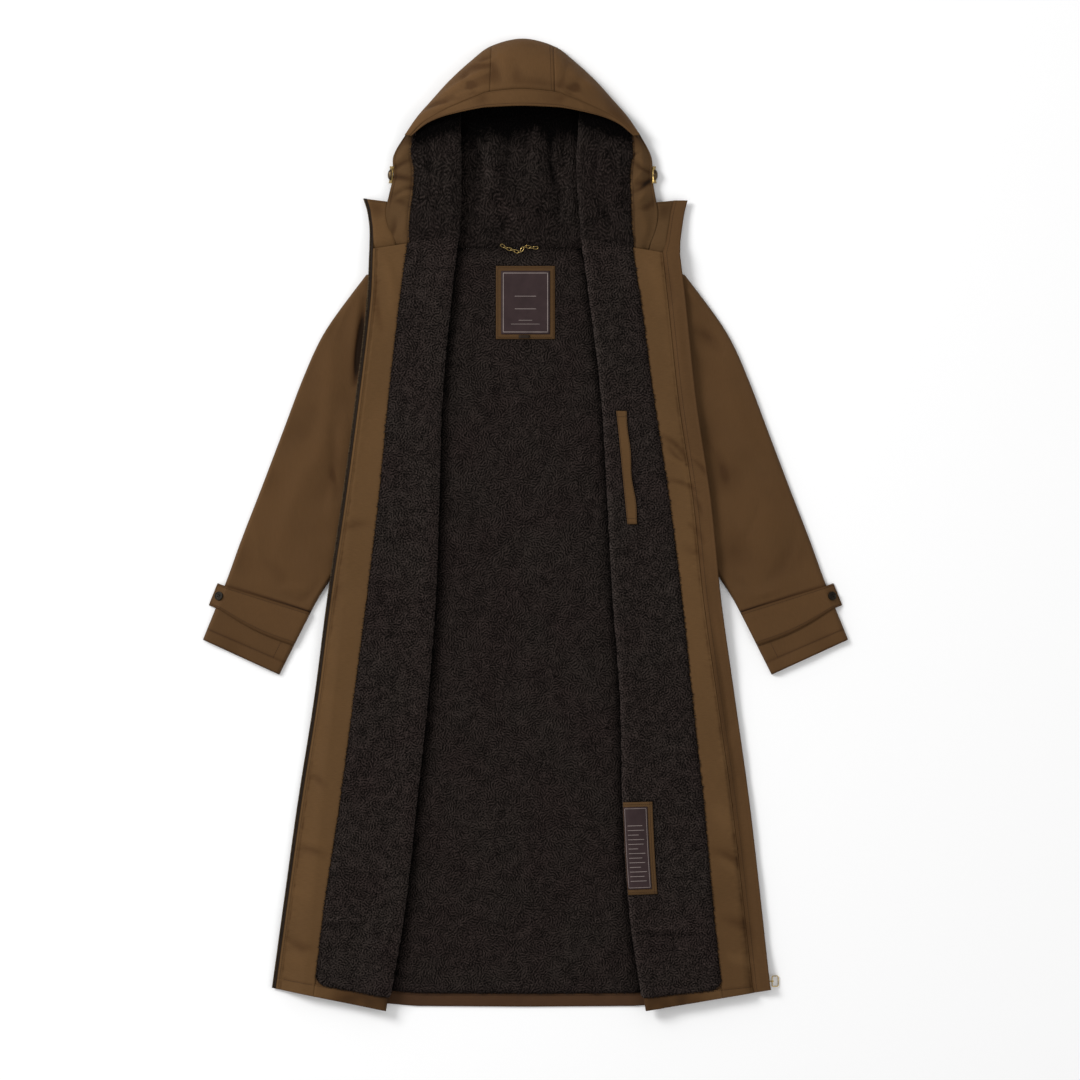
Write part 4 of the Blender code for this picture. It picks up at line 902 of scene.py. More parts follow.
def fold_fleece(node, fold, start, rows, tile, shift, material, below, pressed=None, grow=1.0, tuck=0.0):
    up, at_hem = np.linspace(start, fold.end, rows), start < 100
    lower, bend = 7, 16
    s, z, turn = fold.path(up, lower, bend, fold.outs(up, 54))
    thick = PILE_UNDER + (PILE_TOP - PILE_UNDER) * turn
    base = SHELL / 2 + GAP
    inner = thinned(fold.place(up, *moved_out(s, z, base)), 3)
    smooth = fold.place(up, *moved_out(s, z, base + thick))
    arc = steps_along(smooth, 1)
    arc -= arc[:, [lower + bend]]
    tall = up[:, None] + np.zeros_like(s)
    curls = sampled(tile, arc + shift, tall)
    clumps = clumps_at(arc + 2 * shift, tall)
    shown = ease((turn - 0.1) / 0.3) * (1 if pressed is None else 1 - pressed(tall, arc))
    inside = fold.marks(up)[1][:, None] - s
    edge = bell(inside, 4.5) * (turn == 1)
    end = (1 if at_hem else 0.4) * bell(tall - start, 3.5) + 0.4 * bell(fold.end - tall, 3.5)
    wrinkles = relief(FLEECE_WRINKLES, smooth) * (turn == 1)
    pile = grow * shown * (CURL * curls + CLUMP * clumps) + wrinkles - 2.6 * np.clip(edge + end, 0, 1)
    ragged = 1.5 * edge * sampled(tile, tall * 1.7, 40 + shift)
    top = fold.place(up, *(np.array(moved_out(s, z, base + thick + pile)) + np.array([ragged, 0 * ragged])))
    near = np.clip(1 - inside / CORNER_ROUND, 0, 1) * (turn == 1) * at_hem
    corner = CORNER_ROUND * (1 - np.sqrt(1 - near**2)) * np.clip(1 - (tall - start) / 50, 0, 1)
    over = 1.0 + 1.4 * sampled(tile, arc * 1.7, 90 + shift)
    top[..., 1] += over * bell(fold.end - tall, 4) * (tuck == 0)
    lip = tuck * np.clip(1 - (tall - start) / 12, 0, 1)
    corner = corner - lip
    for grid, drop, part in ((top, lip, corner), (inner, thinned(lip, 3), thinned(corner, 3))):
        grid[..., 2] = np.maximum(grid[..., 2] - 0.5 * drop, SHELL + GAP)
        grid[..., 1] += part
        grid[..., 0] -= fold.sign * 0.13 * np.maximum(part, 0)
    # Painted light and shade on the pile: a highlight along the roll's upper side, painted shade on its lower side,
    # where a patch presses, at the ragged edge and under the brim, and light and shade with the wrinkles.
    roll_highlight = 0.3 * bell(turn - 0.64, 0.22) * (turn < 1)
    painted_pile_shade = 0.5 + 0.14 * curls + 0.03 * clumps + 0.13 * wrinkles + roll_highlight - 0.22 * (1 - shown) - 0.1 * edge
    painted_pile_shade = np.clip(painted_pile_shade - 0.9 * under_brim(top[..., 0], top[..., 1], 45), 0, 1)
    return cloth(node, top, inner, material, below, "folded", painted_pile_shade=painted_pile_shade, smooth=smooth)


fleece_foot = HEM_BAND + GAP
for name, fold, shift, pressed in (("left", left_front, 0, None), ("right", right_front, 410, pressed_on_right)):
    fold_fleece(
        f"front_lining_{name}", fold, fold.start + fleece_foot, FRONT_ROWS, CURLS, shift, FLEECE,
        f"front_shell_{name}_cloth", pressed,
    )
for name, fold, shift in (("left", left_hood, 60), ("right", right_hood, 300)):
    fold_fleece(
        f"hood_side_lining_{name}", fold, fold.start, HOOD_ROWS, HOOD_CURLS, shift, HOOD_FLEECE,
        f"hood_side_shell_{name}_cloth", grow=1.25, tuck=6.0,
    )
print("fleece on the left front:", tops["front_lining_left"].shape[:2], "points")

# %% [markdown]
# ## Hem bands and facings
#
# The hem band is a strip of the outer cotton that closes the foot of the coat; it wraps round the roll like the
# fleece above it. The facings are the wide brown strips on the turned-back fronts. A facing is sewn to the zip
# tape or to the placket, and a seam pulls the cloth down: the columns of its grid crowd together there, so the
# little valley can be shaped with real points.

# %% Hem bands and facings of the fronts
HEM_LINE, DULL_BELOW = 21, 560


def hem_band(side, fold):
    up = np.linspace(fold.start, fold.start + HEM_BAND, 12)
    s, z, _ = fold.path(up, 8, 13, fold.outs(up, 30, GAP - 0.04))
    flat = fold.place(up, s, z)
    from_facing = fold.marks(up)[1][:, None] - s
    puff = 0.25 * waves_at(flat[..., 0] * 3, flat[..., 1] * 3) * ease(from_facing / 9)
    under, top = (fold.place(up, *moved_out(s, z, SHELL / 2 + GAP + d)) for d in (0.0, SHELL + puff))
    # Painted light and shade on the band: paler on its puffs, darker in its dips; it is also darker away from the
    # facing.
    return cloth(
        f"front_hem_band_{side}", top, under, FACING_COTTON, f"front_shell_{side}_cloth", "folded",
        painted_shading=painted_shading_of(0.4 * puff - 1.0 * ease(from_facing / 60)), crisp=True,
    )


def facing_strip(side, fold, seam):
    """The facing, with a sewn valley `seam` millimetres inside its outer edge."""
    up = rising(fold.start, fold.end, step=3.2, fine=44.0)
    _, facing, _, strip, _ = (mark[:, None] for mark in fold.marks(up))
    near = np.arange(0, 16.1, 1.25)[::-1]
    inner = facing + GAP + (strip - GAP - near[0] - facing - GAP) * np.linspace(0, 1, 22)[:-1]
    outs = np.concatenate([inner, strip - GAP - near], 1)
    z = fold.height(up, outs) + SHELL / 2 + GAP
    under = fold.place(up, outs, z)
    from_edge = strip - GAP - outs
    valley = 0.75 * bell(from_edge - seam, 1.5) - 0.35 * bell(from_edge - seam + 4, 2.4)
    hem_line = 0.5 * bell(up[:, None] - fold.start - HEM_LINE, 2.2)
    above_band = ease((up[:, None] - fold.start - HEM_BAND) / 6)
    round_off = 0.6 * bell(from_edge, 1.2) + 0.5 * above_band * bell(outs - facing - GAP, 2)
    uneven = np.clip(0.75 + 0.4 * clumps_at(up * 0.8, 77 * fold.sign), 0.2, 1.3)[:, None]
    gather = 0.35 * bell(from_edge - seam, 9) * clumps_at(up[:, None] * 3.2, from_edge * 1.2)
    top = raised(under, FACING - np.minimum(valley + hem_line + round_off, 0.95) + np.maximum(gather, -0.2))
    # Painted light and shade: lighter and darker with the creases and gathers, darker in the sewn valley and the
    # hem line. The right facing is also darker towards the hem.
    dull = 0.32 * (fold.sign > 0) * ease(1 - up[:, None] / DULL_BELOW)
    painted_shading = painted_shading_of(0.75 * fold.lines(up, outs) - 0.75 * valley * uneven - 0.6 * hem_line + 0.3 * gather - dull)
    return cloth(
        f"facing_{side}", top, thinned(under, 4), FACING_COTTON, f"front_shell_{side}_cloth",
        painted_shading=painted_shading, crisp=True,
    )


for name, fold, seam in (("left", left_front, 7.5), ("right", right_front, 2.6)):
    hem_band(name, fold)
    facing_strip(name, fold, seam)
print("cloths so far:", len(cuts))

# %% [markdown]
# ## Zip tapes and placket
#
# The left front ends in a narrow dark zip tape with its row of teeth. On the right front the tape lies under a
# placket, a brown strip that covers the zip when the coat is closed. Both run on past the neck seam along the
# hood's neck guards. The placket is lifted at its foot, where the slider sits under it.

# %% Zip tapes
LEFT_GUARD_EDGE = [(1270, 255.5, 11.5), (1289, 256, 10.0), (1315, 260, 8.0), (1335, 266.5, 8.0)]  # up, out, z
SLIDER_LIFT, TAPE_THICK = 7.0, 1.0
TAPE_FOOT, TAPE_INSET, TAPE_WIDE = 38.0, 14.5, 13.0  # of the tape under the placket


def guard_edge(rows, sign, shares, width):
    """Rows of points where an edge strip runs along a neck guard."""
    ups = np.arange(rows[0][0], rows[-1][0] + 0.1, 4.0)
    out, z = (column_through(rows, column)(ups)[:, None] for column in (1, 2))
    x = sign * (out - width * np.array(shares))
    return laid_at(x, ups[:, None] + 0 * x, z)


base = SHELL / 2 + GAP
up = rising(left_front.start, left_front.end, step=5.0)
_, _, _, strip, width = (mark[:, None] for mark in left_front.marks(up))
outs = strip + GAP + (width - strip - GAP) * np.linspace(0, 1, 6)
tape_rows = left_front.place(up, outs, left_front.height(up, outs) + base)
tape_guard = guard_edge(LEFT_GUARD_EDGE, -1, np.linspace(1, 0, 6), ZIP_TAPE - GAP)
tape_left = np.concatenate([tape_rows, tape_guard])
cloth("zip_tape_left", raised(tape_left, TAPE_THICK), tape_left, TAPE, "front_shell_left_cloth")

up = rising(right_front.start + TAPE_FOOT, right_front.end, step=5.0)
width = right_front.marks(up)[4][:, None]
outs = width - TAPE_INSET + TAPE_WIDE * np.linspace(0, 1, 8)
tape_right = right_front.place(up, outs, right_front.height(up, outs) + base)
cloth("zip_tape_right", raised(tape_right, TAPE_THICK), tape_right, TAPE, "front_shell_right_cloth")
print("zip tapes:", len(tape_left), "and", len(tape_right), "rows of points")

# %% Placket
TEETH = 2.6
RIGHT_GUARD_EDGE = [(1263, 254, 13.0), (1286, 257, 10.5), (1311, 261, 9.0), (1333, 266.5, 9.0)]
up = rising(right_front.start, right_front.end, step=3.2, fine=120.0)
_, _, _, strip, width = (mark[:, None] for mark in right_front.marks(up))
shares = np.linspace(0, 1, 15)
lift = SLIDER_LIFT * ease(1 - (up - right_front.start - HEM_BAND) / 90)[:, None]
outs = strip + GAP + (width - strip - GAP) * shares
rise = np.interp(shares, [0, 0.25, 0.47, 0.83, 1], [0, 0.95, 1.5, 1.8, TEETH + 0.8]) + lift * ease(shares / 0.45)
placket_low = right_front.place(up, outs, right_front.height(up, outs) + base + rise)
placket_low = np.concatenate([placket_low, guard_edge(RIGHT_GUARD_EDGE, 1, np.linspace(0.8, 0, 15), PLACKET)])
# Painted shade along the placket's seams and edges, where the cloth dips, and painted light and shade from the
# front's creases.
bow = 0.35 * bell(shares, 0.09) + 0.5 * bell(shares - 1, 0.05) + 0.12 * bell(shares - 0.82, 0.06)
placket_shading = painted_shading_of(np.zeros(placket_low.shape[:2]) - 1.1 * bow)
placket_shading[: len(up)] += right_front.lines(up, outs) / 7
cloth(
    "placket_right", raised(placket_low, FACING - bow), thinned(placket_low, 3), COTTON,
    "facing_right_cloth", painted_shading=np.clip(placket_shading, 0, 1),
)
print("placket is", round(float((width - strip).mean())), "mm wide")

# %% [markdown]
# ## The back: shell, fleece and hem band
#
# The back lies on the floor with its fleece up, and between the two rolls it is the largest thing to see. Its
# grid has many columns there and only a few under the fronts, where the pile is pressed flat. Along the neck
# seam the fleece is pinched, and under the label patch it is flat.

# %% Outline of the back
NECK_UP, NECK_OUT = 1253.0, 115.0
SHOULDER_UP, SHOULDER_OUT = SIDE[-1]


def back_half(up, inset):
    """Half width of the back, along the side seam and then up the shoulder to the neck."""
    shoulder = np.interp(up, [SHOULDER_UP, NECK_UP], [SHOULDER_OUT - inset, NECK_OUT])
    return np.where(up <= SHOULDER_UP, side_out(up) - inset, shoulder)


def hem_up(x):
    return np.interp(np.abs(x), *zip(*HEM))


def back_grid(rows, inset, hem, columns_of):
    """Points of the back from the hem to the neck: columns_of gives x for each nominal height."""
    nominal = np.linspace(HEM[0][1] + hem, NECK_UP - GAP / 2, rows)
    x = columns_of(nominal, back_half(nominal, inset))
    foot = hem_up(x) + hem
    share = ((nominal - nominal[0]) / (nominal[-1] - nominal[0]))[:, None]
    return x, foot + (nominal[-1] - foot) * share


def even(nominal, half):
    return half[:, None] * np.linspace(-1, 1, 33)


x, up = back_grid(rows=90, inset=0.6, hem=0.0, columns_of=even)
dent = 0.16 * np.clip(waves_at(x, up), 0, 2) * within(np.abs(x), 0, 225, 60)
shell_low = laid_at(x, up, dent)
cloth("back_shell", raised(shell_low, SHELL - 0.15), shell_low, COTTON, "pale_floor")
print("back", round(float(x.max() - x.min())), "mm wide at the hem")

# %% Fleece of the back
NECK_PATCH = (0.0, 1163.5, 97.0, 120.0)
UNDER_COLUMNS = [0, 2, 4, 40, 75, 110, 141, 143, 145]


def roll_line(fold, up):
    return fold.column["roll_out"](up)


def over_box(box, x, up, grow, soft):
    """1 on a box that is grown by so much on every side, falling to 0 beside it."""
    x0, up0, wide, high = box
    across = within(x, x0 - wide / 2 - grow, x0 + wide / 2 + grow, soft)
    return across * within(up, up0 - high / 2 - grow, up0 + high / 2 + grow, soft)


def crowded(nominal, half):
    """Few columns under the fronts, many between the rolls."""
    left = -np.minimum(roll_line(left_front, nominal) + 14, half - 8)[:, None]
    right = np.minimum(roll_line(right_front, nominal) + 14, half - 8)[:, None]
    edge = half[:, None]
    few = np.linspace(0, 1, 5)[:-1]
    parts = [-edge + (left + edge) * few, left + (right - left) * np.linspace(0, 1, 138)]
    return np.concatenate(parts + [edge + (right - edge) * few[::-1]], 1)


x, up = back_grid(rows=500, inset=1.8, hem=HEM_BAND + GAP, columns_of=crowded)
curls = sampled(CURLS, x + 700, up + 90)
clumps = clumps_at(x + 200, up)
roll = np.where(x < 0, roll_line(left_front, up), roll_line(right_front, up))
open_ = ease((roll + 6 - np.abs(x)) / 10)
patch, beside = (over_box(NECK_PATCH, x, up, grow, soft) for grow, soft in ((-1, 3), (4, 8)))
neck = bell(NECK_UP - up, 7.0)
foot = bell(up - hem_up(x) - HEM_BAND, 4.0)
loose = open_ * (1 - patch) * (1 - 0.8 * neck)
pile = loose * (0.25 + CURL * curls + 0.5 * clumps + 0.45 * beside) - 0.25 * (1 - open_) - 0.15 * patch
pile -= 1.7 * neck + 2.6 * foot
flat = laid_at(x, up, BACK_TOP)
# Painted shade: darker beside the rolls, which overhang the back, in the dip at the hem band and where the pile is
# pinched or pressed.
in_shade = bell(roll - np.abs(x), 9)
painted_pile_shade = np.clip(0.5 + 0.12 * curls + 0.03 * clumps - 0.25 * (1 - loose) - 0.2 * foot - 0.36 * in_shade, 0, 1)
lower = laid_at(x, up, SHELL + GAP)[:, UNDER_COLUMNS]
cloth(
    "back_lining", raised(flat, pile), lower, BACK_FLEECE, "back_shell_cloth",
    painted_pile_shade=painted_pile_shade, smooth=flat,
)
print("fleece of the back:", tops["back_lining"].shape[:2], "points")

# %% Hem band of the back
reach = HEM[-1][0] - 3.2
x = np.linspace(-reach, reach, 141)[None] + np.zeros((12, 1))
share = np.linspace(0, 1, 12)[:, None]
up = hem_up(x) + 0.3 + (HEM_BAND - 0.6) * share
band = laid_at(x, up, SHELL + GAP)
puff = 0.3 * np.sin(np.pi * share) ** 0.5 - 0.35 * bell(share - 0.84, 0.06)
puff = puff + 0.12 * waves_at(x * 2.5, up * 2.5) * np.sin(np.pi * share)
# Painted light and shade: paler on the band's puffs, darker in its dips and a little darker all over.
cloth(
    "back_hem_band", raised(band, SHELL - 0.3 + puff), band, BAND_COTTON, "back_shell_cloth",
    painted_shading=painted_shading_of(puff - 0.2),
)
print("hem band", round(2 * reach), "mm long")

# %% [markdown]
# ## Patches, labels and pocket welt
#
# A cotton patch is sewn to the fleece below the neck, with a woven label on it and a small tab under that. A
# second patch with a care label is wrapped round the right roll, and higher up a slim welt marks the inner
# pocket. The labels stay plain: a woven border and a few ruled lines.

# %% Patches on the back
PATCH, LABEL = 1.0, 0.8
NECK_LABEL, SIZE_TAB = (0.0, 1163.5, 80.0, 104.0), (-2.0, 1107.4, 18.0, 5.4)


def patch_cloth(node, box, bottom, thickness, material, below, wave=0.0):
    x0, up0, wide, high = box
    rows, cols = max(int(high / 3), 4), max(int(wide / 3), 4)
    v, u = np.meshgrid(np.linspace(-1, 1, rows), np.linspace(-1, 1, cols), indexing="ij")
    x, up = x0 + u * wide / 2, up0 + v * high / 2
    rim = np.minimum((1 - abs(u)) * wide / 2, (1 - abs(v)) * high / 2)
    swell = wave * (0.5 + 0.5 * np.clip(waves_at(x * 4, up * 4), -1, 1)) * ease(rim / 12)
    low = laid_at(x, up, bottom + swell)
    valley = 0.3 * bell(rim - 4, 1.8) + 0.25 * bell(rim, 1.2)
    top = raised(low, thickness - valley * (thickness >= PATCH))
    # Painted shade in the sewn valleys round the rim of each patch and label.
    return cloth(node, top, low, material, below, painted_shading=painted_shading_of(-valley))


patch_cloth("neck_patch", NECK_PATCH, BACK_TOP + GAP, PATCH, PATCH_COTTON, "back_lining_cloth", wave=0.2)
label_low = BACK_TOP + 2 * GAP + PATCH
patch_cloth("neck_label", NECK_LABEL, label_low, LABEL, LABEL_CLOTH, "neck_patch_cloth", wave=0.2)
patch_cloth("size_tab", SIZE_TAB, label_low, LABEL, TAPE, "neck_patch_cloth")
print("neck patch", NECK_PATCH[2:], "and label", NECK_LABEL[2:], "mm")


# %% Patches round the roll
def roll_patch(node, fold, limits, start, end, lift, thickness, material, below, rows=40):
    up = np.linspace(*limits, rows)
    ends = start(up) if callable(start) else start, end(up) if callable(end) else end
    low, top = (fold.on_cover(up, *ends, 24, lift + over) for over in (0, thickness))
    return cloth(node, top, low, material, below)


LIFT = 0.8
LIFT_LABEL = LIFT + PATCH + GAP
on_fleece = "front_lining_right_cloth"
first, last, start, end = CARE_PATCH
roll_patch("care_patch", right_front, (first, last), start, end, LIFT, PATCH, PATCH_COTTON, on_fleece)
CARE_LABEL = (201.0, 336.0, -10.0, 30.5)
first, last, start, end = CARE_LABEL
roll_patch(
    "care_label", right_front, (first, last), start, end, LIFT_LABEL, LABEL, LABEL_CLOTH,
    "care_patch_cloth",
)


def welt_end(up):
    """The welt's free edge, which bulges and dips a little."""
    return welt_start(up) + WELT_WIDTH - 0.7 + 1.1 * np.sin(up / 13) + 0.7 * np.sin(up / 31 + 1)


roll_patch(
    "pocket_welt", right_front, WELT_UP, welt_start, welt_end, LIFT, PATCH, FACING_COTTON, on_fleece
)
print("patches and labels:", sum("patch" in n or "label" in n for n in cuts))

# %% [markdown]
# ## The hood's back
#
# The hood lies open with its inside up. Its back panel carries the same fleece, but with bigger, upright curls and
# a few long wrinkles where the panel has no room to lie flat. It gets darker towards the brim, which shades it.

# %% Sections of the crown
HOOD_MIDDLE = -5.0
CROWN_ROW = ("foot_out", "foot_up", "foot_z", "mouth_out", "mouth_up", "mouth_z")
CROWN = [
    (193, 1438, 24, 182, 1436, 27),
    (173, 1468, 10, 160, 1454, 33),
    (149, 1496, 0, 134, 1466, 40),
    (120, 1528, 0, 103, 1474, 48),
    (84, 1561, 0, 72, 1480, 55),
    (51, 1585, 0, 54, 1482, 57),
    (0, CROWN_UP, 0, 0, 1484, 60),
]
print("sections from the side to the middle:", len(CROWN))

# %% Shell of the hood's back
HOOD_SIDE_UP = (1262, 1446)


def hood_edges(inset, foot_inset):
    """Left and right edge of the hood's lower layer as functions of the height."""
    found = []
    for sign in (-1, 1):
        ups = np.linspace(*HOOD_SIDE_UP, 11)
        points = [(NECK_UP + GAP / 2, sign * NECK_OUT)]
        points += list(zip(ups, sign * (hood_side_out(ups) - inset)))
        for row in CROWN[1:-1]:
            foot, mouth = np.array([sign * row[0], row[1]]), np.array([sign * row[3], row[4]])
            x, up = foot + (mouth - foot) / np.linalg.norm(mouth - foot) * foot_inset
            points.append((up, HOOD_MIDDLE + x))
        points.append((CROWN[-1][1] - foot_inset, HOOD_MIDDLE + sign * 1.5))
        found.append([np.array(column) for column in zip(*points)])
    return found


def hood_grid(inset, foot_inset, rows, cols):
    left, right = hood_edges(inset, foot_inset)
    up = np.linspace(left[0][0], left[0][-1], rows)
    share = np.linspace(0, 1, cols)
    x = np.interp(up, *left)[:, None] * (1 - share) + np.interp(up, *right)[:, None] * share
    return x, up[:, None] + 0 * x


x, up = hood_grid(inset=2.9, foot_inset=2.6, rows=40, cols=33)
low = laid_at(x, up, 0)
cloth("hood_back_shell", raised(low, SHELL), low, COTTON, "pale_floor")
print("hood back", round(float(x.max() - x.min())), "mm wide")

# %% Fleece of the hood's back
LEFT_ROLL_UP, RIGHT_ROLL_UP = (1274, 1496), (1270, 1496)
x, up = hood_grid(inset=3.6, foot_inset=15.0, rows=140, cols=150)
curls, clumps = sampled(HOOD_CURLS, x + 90, up * 0.72), clumps_at(x, up + 300)
left_roll = roll_line(left_hood, np.clip(up, *LEFT_ROLL_UP))
roll = np.where(x < 0, left_roll, roll_line(right_hood, np.clip(up, *RIGHT_ROLL_UP)))
open_ = ease((roll + 6 - np.abs(x)) / 10)
neck = bell(up - NECK_UP, 8.0)
flat = laid_at(x, up, BACK_TOP)
wrinkles = relief(FLEECE_WRINKLES, flat)
loose = open_ * (1 - 0.8 * neck)
pile = loose * (0.1 + 0.85 * curls + 0.5 * clumps + wrinkles) - 0.25 * (1 - open_) - 1.7 * neck
# Painted shade under the brim, darker towards it, and painted light and shade with the wrinkles.
shade = 0.95 * under_brim(x, up, 80)
painted_pile_shade = np.clip(0.5 + 0.12 * curls + 0.04 * clumps + 0.15 * wrinkles - 0.2 * (1 - loose) - shade, 0, 1)
lower = thinned(laid_at(x, up, SHELL + GAP), 18)
cloth(
    "hood_back_lining", raised(flat, pile), lower, HOOD_FLEECE, "hood_back_shell_cloth",
    painted_pile_shade=painted_pile_shade, smooth=flat,
)
print("hood back fleece:", tops["hood_back_lining"].shape[:2], "points")

# %% [markdown]
# ## The crown and the brim
#
# The top of the hood stands up like a low tent: three cotton panels rise from the floor to the mouth, and a
# double-layered brim edges it. A section from foot to mouth is a quarter of an ellipse, so equal angles give
# equal smoothness. Seams between the panels are valleys, and the diagonal wrinkles on the left come from the
# crease table.

# %% Surface of the crown
MIRRORED = [[-row[0], *row[1:3], -row[3], *row[4:]] for row in CROWN]
MIRRORED += [list(row) for row in reversed(CROWN[:-1])]
crown = columns(CROWN_ROW, MIRRORED, numbered=True)
LAST = len(MIRRORED) - 1
SEAM = 5


def crown_points(key, share):
    """Points of the crown's outer face, by section and by share of the way from its foot to its mouth."""
    at = {name: curve(key)[:, None] for name, curve in crown.items()}
    x = at["foot_out"] + (at["mouth_out"] - at["foot_out"]) * share
    up = at["foot_up"] + (at["mouth_up"] - at["foot_up"]) * share
    z = np.maximum(at["foot_z"], 0)
    z = z + (at["mouth_z"] - z) * np.sqrt(np.clip(share * (2 - share), 0, 1))
    return np.stack([HOOD_MIDDLE + x, up, z], -1)


def crown_grid(key, share, depth):
    """The crown's face moved inwards by a depth, never below the floor."""
    share = np.broadcast_to(share, (len(key), np.shape(share)[-1]))
    points = crown_points(key, share)
    down = crown_points(key, np.minimum(share + 0.02, 1)) - crown_points(key, np.maximum(share - 0.02, 0))
    aside = crown_points(np.minimum(key + 0.1, LAST), share) - crown_points(np.maximum(key - 0.1, 0), share)
    normal = np.cross(down, aside)
    normal /= np.linalg.norm(normal, axis=-1, keepdims=True)
    normal *= np.where(normal[..., 2:] < 0, -1, 1)
    moved = points - normal * np.asarray(depth)[..., None]
    moved[..., 2] = np.maximum(moved[..., 2], np.where(share == 0, points[..., 2], 0))
    return moved


def arch(end, count):
    """Shares of the way for equal angles round the quarter ellipse."""
    return 1 - np.cos(np.linspace(0, math.acos(1 - end), count))


print("sections of the crown:", LAST + 1)

# %% Creases of the crown
CROWN_CREASES = [
    (-168, 1471, -114, 1490, 3, 4, 1.3), (-166, 1480, -128, 1491, 3, 3.5, -1.1),
    (-150, 1496, -90, 1520, 4, 5, 1.2), (-142, 1519, -62, 1560, 6, 8, -1.6), (-124, 1509, -60, 1543, 4, 4, 1.8),
    (-104, 1540, -70, 1500, -5, 9, -1.2), (-48, 1586, -30, 1520, 4, 9, 1.2), (-20, 1578, -12, 1530, 3, 9, -0.5),
    (96, 1540, 62, 1500, 5, 9, -1.4), (118, 1516, 74, 1540, 4, 8, 1.3), (70, 1566, 54, 1512, 3, 7, -1.0),
    (-86, 1556, -42, 1567, -4, 3, 1.5), (-112, 1502, -58, 1512, 3, 3.5, 1.4), (52, 1511, 98, 1496, 3, 3.5, 1.4),
    (84, 1492, 99, 1475, 2, 3, 1.2), (-146, 1478, -120, 1482, 2, 2.5, 1.2),
]
print("creases on the crown:", len(CROWN_CREASES))

# %% Crown panels
BRIM = 0.25  # its share of the way from the foot to the mouth
SLIT = 0.003  # half the slit at a seam, as a share of a section
PANELS = (
    ("left", 0, SEAM - SLIT, 64),
    ("centre", SEAM + SLIT, LAST - SEAM - SLIT, 30),
    ("right", LAST - SEAM + SLIT, LAST, 64),
)
share = arch(1 - BRIM, 26)
for name, start, end, count in PANELS:
    key = np.linspace(start, end, count)
    face = crown_grid(key, share, 0)
    seams = np.minimum(abs(key - SEAM), abs(key - LAST + SEAM))[:, None]
    deep = np.where(abs(key - SEAM) < 1, 0.08, 0.45)[:, None]
    valley = deep * bell(seams, 0.05) + 0.25 * bell(1 - BRIM - share, 0.03)
    ripple = relief(CROWN_CREASES, face) + 0.5 * waves_at(face[..., 0], face[..., 1])
    ripple = np.clip(1.4 * ripple * ease(share / 0.25) * ease((1 - BRIM - share) / 0.12), -1.1, 2.0)
    under = crown_grid(key, share, SHELL - ripple)
    top = crown_grid(key, share, np.minimum(valley, 0.85) - ripple)
    # Painted light and shade: paler on the ripples' ridges, darker in their troughs and in the seams.
    cloth(
        f"hood_crown_{name}", top, under, HOOD_COTTON, "hood_back_shell_cloth",
        painted_shading=painted_shading_of(0.75 * ripple - 0.5 * valley),
    )
print("crown panels:", len(PANELS))

# %% Brim and the crown's fleece
GUARD, PILE_CROWN = 2.4, 5.0
key = np.linspace(0, LAST, 150)
share = 1 - BRIM + 0.004 + (BRIM - 0.004) * np.linspace(0, 1, 14)
face = crown_grid(key, share, 0)
ripple = 0.4 * np.sin(key * 2.3 + 1.0)[:, None] + relief(CROWN_CREASES, face)
ripple = ripple * np.sin(np.pi * (share - 1 + BRIM) / BRIM)
rows_sewn = sum(bell(share - place, 0.008) for place in (0.775, 0.965))
round_edge = 0.9 * bell(1 - share, 0.006)
depth = 0.4 * rows_sewn + round_edge - ripple
top, under = crown_grid(key, share, depth), crown_grid(key, share, GUARD - ripple)
# Painted light and shade on the brim's ripples, and painted shade in its sewn rows.
cloth(
    "hood_brim", top, under, HOOD_COTTON, "hood_crown_lining_cloth",
    painted_shading=painted_shading_of(0.8 * ripple - 0.3 * rows_sewn),
)

key = np.linspace(1.25, LAST - 1.25, 80)
share = np.linspace(0.1, 0.7, 24)
outer = crown_grid(key, share, SHELL + GAP + 0.6)
smooth = crown_grid(key, share, SHELL + GAP + 0.3 + PILE_CROWN)
curls = sampled(HOOD_CURLS, key[:, None] * 40, share * 160)
fuzzy = crown_grid(key, share, SHELL + GAP + 0.3 + PILE_CROWN + 0.7 * curls - 0.7)
# Painted shade: the crown's fleece, deep under the brim, gets the darkest pile colour all over.
cloth(
    "hood_crown_lining", fuzzy, outer, HOOD_FLEECE, "hood_crown_centre_cloth",
    painted_pile_shade=0 * curls, smooth=smooth,
)
print("crown", round(float(top[..., 2].max()), 1), "mm high at the brim")

# %% [markdown]
# ## Hood facings and neck guards
#
# The hood's edge is a tunnel, so its facing swells softly between its two seams and gathers beside the metal
# lock. The neck guards are small double-layered wings between the hood's edge and the zip.

# %% Facings of the hood's sides
TUNNEL_FROM, SHADED_FROM = 1318, 1408


